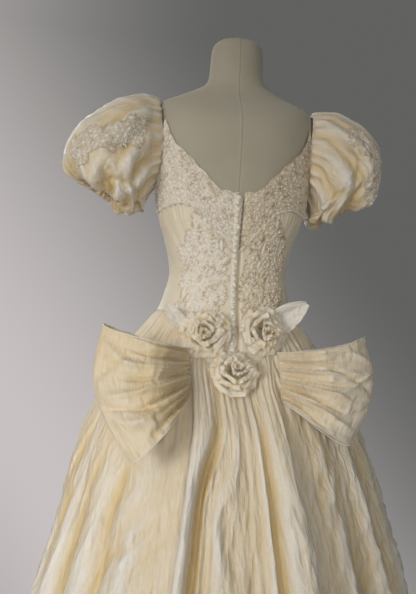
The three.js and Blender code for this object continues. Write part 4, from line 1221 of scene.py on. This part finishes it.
# Creases on each loop's back, listed one by one: start and end as shares out and down, width, height in mm.
LOOP_CREASES = {
    "left": [
        (0.04, 0.10, 0.75, 0.02, 7, 4), (0.04, 0.22, 0.62, 0.14, 5, -6), (0.04, 0.34, 0.80, 0.26, 8, 6),
        (0.04, 0.46, 0.66, 0.42, 5, -7), (0.04, 0.55, 0.92, 0.56, 9, 6), (0.04, 0.66, 0.60, 0.70, 5, -7),
        (0.04, 0.74, 0.78, 0.82, 8, 6), (0.04, 0.88, 0.58, 0.93, 5, -6), (0.30, 0.78, 0.97, 0.62, 6, -5),
        (0.45, 0.90, 0.98, 0.70, 10, 4), (0.62, 0.18, 0.98, 0.40, 10, -4), (0.55, 0.34, 0.96, 0.10, 9, 3),
        (0.30, 0.50, 0.55, 0.56, 4, 4),
    ],
    "right": [
        (0.04, 0.08, 0.80, 0.06, 6, 4), (0.04, 0.20, 0.58, 0.16, 5, -6), (0.04, 0.32, 0.86, 0.34, 8, 6),
        (0.04, 0.44, 0.62, 0.46, 5, -7), (0.04, 0.54, 0.70, 0.62, 7, 6), (0.04, 0.66, 0.64, 0.74, 5, -7),
        (0.04, 0.76, 0.82, 0.88, 8, 6), (0.04, 0.90, 0.50, 0.96, 5, -5), (0.40, 0.22, 0.98, 0.50, 8, -5),
        (0.50, 0.60, 0.98, 0.30, 7, 5), (0.60, 0.86, 0.97, 0.66, 8, -4), (0.72, 0.10, 0.98, 0.24, 7, 4),
    ],
}


# painted shade laid evenly over each loop: the left loop is painted darker and more golden than the right
LOOP_SHADE = {"left": 0.26, "right": 0.05}


def angle_at(x, surface):
    low, high = 0.0, 180.0
    for _ in range(40):
        angle = (low + high) / 2
        if surface(angle)[0] > x:
            low = angle
        else:
            high = angle
    return high


def skirt_back_y(x, z):
    def surface(angle):
        return skirt_point(angle, z, 0)
    return surface(angle_at(x, surface))[1]


def loop_grid(side, sign, around, down):
    gather, top_x, top_z, bottom_x, bottom_z, bulge = LOOPS[side]
    gather_top, gather_bottom, gather_depth = LOOP_GATHER
    stand_off, lean, sweep, sweep_from = LOOP_REST
    reach = np.sin(np.pi * around)
    fold_x = mix(top_x, bottom_x, down) + bulge * np.sin(np.pi * down)
    x = mix(gather, fold_x, reach)
    z = mix(mix(gather_top, gather_bottom, down), mix(top_z, bottom_z, down), reach)
    heights = np.linspace(gather_bottom - 60, gather_top + 60, 25)
    seats = np.array([skirt_back_y(sign * gather, height) for height in heights]) + 0.8
    seat = np.interp(z, heights, seats)
    free = stand_off + lean * (gather_top - z) - sweep * np.maximum(0, x - sweep_from)
    base = mix(seat, free, smooth_step(reach, 0, 0.35))
    opened = np.sin(np.pi * 0.5 * np.minimum(1, 1.4 * reach))
    depth = mix(gather_depth, LOOP_BELLY, opened)
    y = base + depth * (0.5 + 0.5 * np.cos(np.pi * around))
    return np.stack(np.broadcast_arrays(sign * x, y, z), axis=-1)


def make_loop(side, sign, seed):
    around = np.linspace(0, 1, LOOP_GRID[1])[None, :]
    down = np.linspace(0, 1, LOOP_GRID[0])[:, None]
    base = loop_grid(side, sign, around, down)
    outward = grid_normals(base)
    if outward[:, : outward.shape[1] // 3, 1].mean() < 0:  # the loop's back layer faces back
        outward = -outward
    reach = np.sin(np.pi * around)
    facing = np.cos(np.pi * around)
    far_mm, down_mm = LOOP_REACH * reach, LOOP_HEIGHT * down
    back_table = [
        (LOOP_REACH * a, LOOP_HEIGHT * b, LOOP_REACH * c, LOOP_HEIGHT * d, 0.8 * width, 1.3 * height)
        for a, b, c, d, width, height in LOOP_CREASES[side]
    ]
    front_table = [
        (x0, LOOP_HEIGHT - y0, x1, LOOP_HEIGHT - y1, width, height)
        for x0, y0, x1, y1, width, height in back_table
    ]
    folds = np.where(facing > 0, soft_creases(far_mm, down_mm, back_table),
                     soft_creases(far_mm, down_mm, front_table))
    folds = folds * smooth_step(np.abs(facing), 0.0, 0.35)
    wander = Noise(seed)(down * 5, around * 3)
    pleats = np.cos(2 * np.pi * 8.5 * down + 3 * wander) + 0.5 * np.cos(2 * np.pi * 17 * down + 5 * wander)
    pleats = pleats * 3.4 * (1 - smooth_step(reach, 0.05, 0.62))
    crumple = creases(far_mm + 160 * (facing < 0), down_mm, 62, seed + 1, 3) * 3.2
    crumple = crumple * smooth_step(reach, 0.15, 0.6) * (0.35 + 0.65 * smooth_step(np.abs(facing), 0.0, 0.3))
    edge = np.minimum(down, 1 - down) * 200
    hem = 1.0 * (1 - smooth_step(edge, 7.0, 8.5)) + 0.35 * bump(edge, 8.6, 0.8)
    hem = hem + 0.4 * np.sin(far_mm / 3.1) * bump(edge, 5, 4)
    height = folds + pleats + crumple
    # painted shade: golden in the troughs, more so near the gather, plus each loop's even share of painted
    # shade
    tone = fold_shade(height, 6, 9) * (0.6 + 0.4 * (1 - smooth_step(reach, 0.2, 0.8))) + LOOP_SHADE[side]
    points = base + outward * (height + hem)[..., None]
    points[..., 2] += 5.0 * np.sin(around * 9 + seed) * bump(edge, 0, 26) * reach
    loop = cloth(f"bow_loop_{side}_taffeta", points, flip=sign > 0, fold=tone)
    finished(loop, "taffeta", [f"bow_loop_{side}"])

    for number, rim in enumerate((points[0], points[-1])):
        hem_edge = tube(f"bow_hem_{side}_{number}", rim[::2], HEM_EDGE_RADIUS, 6)
        finished(hem_edge, "taffeta")


# ---- roses and leaves ----------------------------------------------------------------------

ROSES = {  # x, z, first turn in degrees, tilt up, how far it stands off, seed
    "left": (51, 945, 10, 6, 1.5, 71), "right": (-53, 951, 140, 6, 1.5, 82),
    "middle": (-3, 866, 250, 32, 11.7, 93),
}
PETAL_ROUNDS = [  # inner radius, outer radius, height of the foot and of the lip, corners, curl of the lip
    (24, 45, 4, 15, 6, 4.5), (20, 38, 9, 22, 5, 4.5), (13, 29, 14, 30, 4, 4.5), (7, 19, 20, 37, 3, 3.5),
    (2, 11, 26, 41, 3, 2.0),
]


def back_seat(x, z):
    def surface(angle):
        return body_point(angle, z, BODICE_OUT)
    angle = angle_at(x, surface)
    return body_point(angle, z, BODICE_OUT), torso_normal(angle, z)


def make_rose(side):
    x, z, first_turn, tilt, out, seed = ROSES[side]
    point, normal = back_seat(x, z)
    facing = unit(normal * [1, 1, 0])
    facing = unit(facing + [0, 0, math.tan(math.radians(tilt))])
    centre = point + facing * out
    basis = facing_basis(facing)
    draw = np.random.RandomState(seed)
    for number, (inner, outer, foot, lip, corners, curl) in enumerate(PETAL_ROUNDS):
        turn = np.linspace(0, 2 * np.pi * 1.12, 124)[None, :]
        rise = np.linspace(0, 1, 22)[:, None]
        spiral = (turn / (2 * np.pi) - 0.55) * 5.5
        angle = turn + np.radians(first_turn + 67 * number)
        wander = Noise(seed + number)(np.cos(angle) * 1.4, np.sin(angle) * 1.4)
        side_angle = 2 * np.pi / corners
        from_side = (angle + 0.35 * wander) % side_angle - side_angle / 2
        folded = np.cos(side_angle / 2) / np.cos(from_side)
        radius = mix(inner, outer * mix(1, folded, 0.75), rise**1.35) + spiral
        height = mix(foot, lip * (0.9 + 0.16 * wander), np.sin(rise * 1.45))
        height = height - curl * smooth_step(rise, 0.74, 1.0)
        radius = radius + 0.7 * curl * smooth_step(rise, 0.7, 1.0)
        tucks = bump(np.abs(from_side), side_angle / 2, 0.10) * 3.5 * rise
        crush = creases(angle * 24, rise * 24 + 11 * number, 15, seed + 20 + number, 3)
        radius = np.minimum(radius + 2.0 * crush * rise, 49)
        height = np.maximum(height + (1.5 + 2.4 * rise) * crush + tucks, 1.0)
        # painted shade: golden deep inside the rose towards each petal's foot, and in the troughs of its
        # creases
        tone = np.clip(1.15 - 0.75 * rise - 0.9 * crush, 0.3, 1)
        shift = draw.uniform(-3.0, 3.0, 2) * (number > 0)
        level_x, level_y = radius * np.cos(angle) + shift[0], radius * np.sin(angle) + shift[1]
        local = np.stack(np.broadcast_arrays(level_x, level_y, height), axis=-1)
        petal = cloth(f"rose_{side}_petals_{number + 1}", centre + local @ basis, fold=tone)
        finished(petal, "taffeta", [f"rose_{side}"] if number == 0 else ())


LEAVES = {  # root x and z, tip x and z, half width, lift at the tip, seed
    "left": ((92, 966), (118, 992), 12, 8, 55),
    "right": ((-84, 962), (-130, 1004), 23, 16, 56),
}
LEAF_OUT = 2.2


def make_leaf(side):
    root, tip, half, lift, seed = LEAVES[side]
    point, normal = back_seat(*root)
    along = np.array([tip[0] - root[0], 0, tip[1] - root[1]], float)
    across_way = unit(np.cross(normal, along))
    share = np.linspace(-0.45, 1, 60)[:, None]
    across = np.linspace(-1, 1, 50)[None, :]
    run = (share + 0.45) / 1.45
    width = half * 1.12 * np.sin(np.pi * np.clip(0.16 + 0.80 * run, 0, 1)) ** 0.8
    crease = 6.0 * np.abs(across) * np.sin(np.pi * (0.15 + 0.7 * run))
    rough = creases(across * width * 1.3, share * 60, 15, seed, 3) * 1.9
    height = LEAF_OUT + lift * np.clip(share, 0, 1) + crease + rough * np.sin(np.pi * (0.1 + 0.8 * run))
    height = np.maximum(height, 0.8)
    bend = 4 * np.sin(np.pi * run)
    points = (point + share[..., None] * along + (across * width + bend)[..., None] * across_way
              + height[..., None] * normal)
    leaf = cloth(f"leaf_{side}_taffeta", points, flip=False)
    finished(leaf, "taffeta", [f"leaf_{side}"])


# ---- the stand, floor, light and camera ----------------------------------------------------


def make_stand():
    for node in ("form_pole", "form_base"):
        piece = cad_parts[node]
        piece.data.materials.clear()
        piece.data.materials.append(STEEL)


FLOOR_RADIUS = 0.98


def make_floor():
    turn = np.linspace(0, 2 * np.pi, 96, endpoint=False)
    ring = np.stack([FLOOR_RADIUS * np.cos(turn), FLOOR_RADIUS * np.sin(turn), np.full(96, -0.0006)], axis=1)
    mesh = bpy.data.meshes.new("floor")
    mesh.from_pydata([tuple(p + AXIS) for p in ring], [], [tuple(range(96))])
    floor = bpy.data.objects.new("floor", mesh)
    bpy.context.collection.objects.link(floor)
    mesh.materials.append(floor_look())


ROOM_DARK, ROOM_LIGHT, ROOM_SIDE = (0.122, 0.124, 0.117), (0.57, 0.535, 0.53), (0.2, 0.19, 0.185)


def make_world():
    """A plain grey room, lighter low on the wearer's left and dull again at the far left."""
    world = bpy.data.worlds.new("room")
    bpy.context.scene.world = world
    world.use_nodes = True
    nodes, links = world.node_tree.nodes, world.node_tree.links
    way = nodes.new("ShaderNodeTexCoord")
    parts = nodes.new("ShaderNodeSeparateXYZ")
    links.new(way.outputs["Generated"], parts.inputs["Vector"])
    ramp = nodes.new("ShaderNodeValToRGB")
    ramp.color_ramp.interpolation = "EASE"
    dark, light = ramp.color_ramp.elements
    dark.position, light.position = 0.30, 0.62
    dark.color, light.color = (*ROOM_DARK, 1), (*ROOM_LIGHT, 1)
    ramp.color_ramp.elements.new(0.84).color = (*ROOM_SIDE, 1)
    across = nodes.new("ShaderNodeMapRange")
    across.inputs["From Min"].default_value, across.inputs["From Max"].default_value = -1, 1
    links.new(parts.outputs["X"], across.inputs["Value"])
    up = nodes.new("ShaderNodeMapRange")
    up.inputs["From Min"].default_value, up.inputs["From Max"].default_value = -0.35, 0.35
    up.inputs["To Min"].default_value, up.inputs["To Max"].default_value = 0.13, -0.13
    links.new(parts.outputs["Z"], up.inputs["Value"])
    total = nodes.new("ShaderNodeMath")
    links.new(across.outputs["Result"], total.inputs[0])
    links.new(up.outputs["Result"], total.inputs[1])
    links.new(total.outputs[0], ramp.inputs["Fac"])
    links.new(ramp.outputs["Color"], nodes["Background"].inputs["Color"])
    nodes["Background"].inputs["Strength"].default_value = 1.0


def aim(thing, place, target):
    thing.location = place
    thing.rotation_euler = (Vector(target) - Vector(place)).to_track_quat("-Z", "Y").to_euler()
    bpy.context.collection.objects.link(thing)


LIGHTS = [  # name, place from the axis, target, width, height, watts, spread in degrees, colour
    ("key", (2.5, 2.1, 1.2), (0.50, 0.0, 0.70), 1.5, 1.5, 4.2, 38, (1.0, 0.985, 0.96)),
    ("middle", (0.2, 2.8, 1.0), (0.15, 0.1, 0.83), 1.0, 1.0, 0.8, 26, (1.0, 0.985, 0.96)),
    ("fill", (-0.9, 2.6, 1.3), (0.0, 0.0, 0.9), 1.8, 1.8, 2, 180, (1.0, 0.98, 0.96)),
    ("front", (0.7, -2.4, 2.2), (0.0, 0.0, 0.9), 1.6, 1.6, 22, 180, (1.0, 0.99, 0.98)),
]


def make_lights():
    for name, place, target, width, height, watts, spread, colour in LIGHTS:
        light = bpy.data.lights.new(name, "AREA")
        light.shape = "RECTANGLE"
        light.size, light.size_y = width, height
        light.energy, light.color = watts, colour
        light.spread = math.radians(spread)
        aim(bpy.data.objects.new(name, light), Vector(AXIS) + Vector(place), Vector(AXIS) + Vector(target))


CAMERA_YAW, CAMERA_PITCH, CAMERA_ROLL = 7.05, -1.5, 2.82  # degrees
CAMERA_DISTANCE, CAMERA_TARGET_Z, CAMERA_LENS = 1.490, 1.017, 45.45
CAMERA_ASIDE = 0.0355


def make_camera():
    turn, rise = math.radians(180 - CAMERA_YAW), math.radians(CAMERA_PITCH)
    back = Vector((math.sin(turn) * math.cos(rise), -math.cos(turn) * math.cos(rise), math.sin(rise)))
    right = (-back).cross(Vector((0, 0, 1))).normalized()
    up = right.cross(-back)
    roll = math.radians(CAMERA_ROLL)
    level = right * math.cos(roll) + up * math.sin(roll)
    upright = up * math.cos(roll) - right * math.sin(roll)
    lens = bpy.data.cameras.new("camera")
    lens.sensor_fit, lens.sensor_width, lens.sensor_height = "VERTICAL", 36, 36
    lens.lens = CAMERA_LENS
    lens.clip_end = 50
    camera = bpy.data.objects.new("camera", lens)
    place = Vector(AXIS) + Vector((0, 0, CAMERA_TARGET_Z)) + back * CAMERA_DISTANCE - level * CAMERA_ASIDE
    camera.matrix_world = Matrix((
        (level.x, upright.x, back.x, place.x), (level.y, upright.y, back.y, place.y),
        (level.z, upright.z, back.z, place.z), (0, 0, 0, 1),
    ))
    bpy.context.collection.objects.link(camera)
    bpy.context.scene.camera = camera


# ---- the whole dress -----------------------------------------------------------------------

bpy.context.scene.view_settings.view_transform = "Standard"
make_camera()
make_world()
make_lights()
make_floor()
make_stand()
make_form()
make_bodice()
make_yoke("left", 0.5, 90, 101)
make_yoke("right", 93.2, 179.5, 117)
make_back_spray("left", -1, 131)
make_back_spray("right", 1, 147)
make_bodice_beads()
make_buttons()
make_sleeve("left", 1, 161)
make_sleeve("right", -1, 177)
make_skirt()
make_drape()
make_loop("left", 1, 191)
make_loop("right", -1, 205)
for rose in ROSES:
    make_rose(rose)
for leaf in LEAVES:
    make_leaf(leaf)
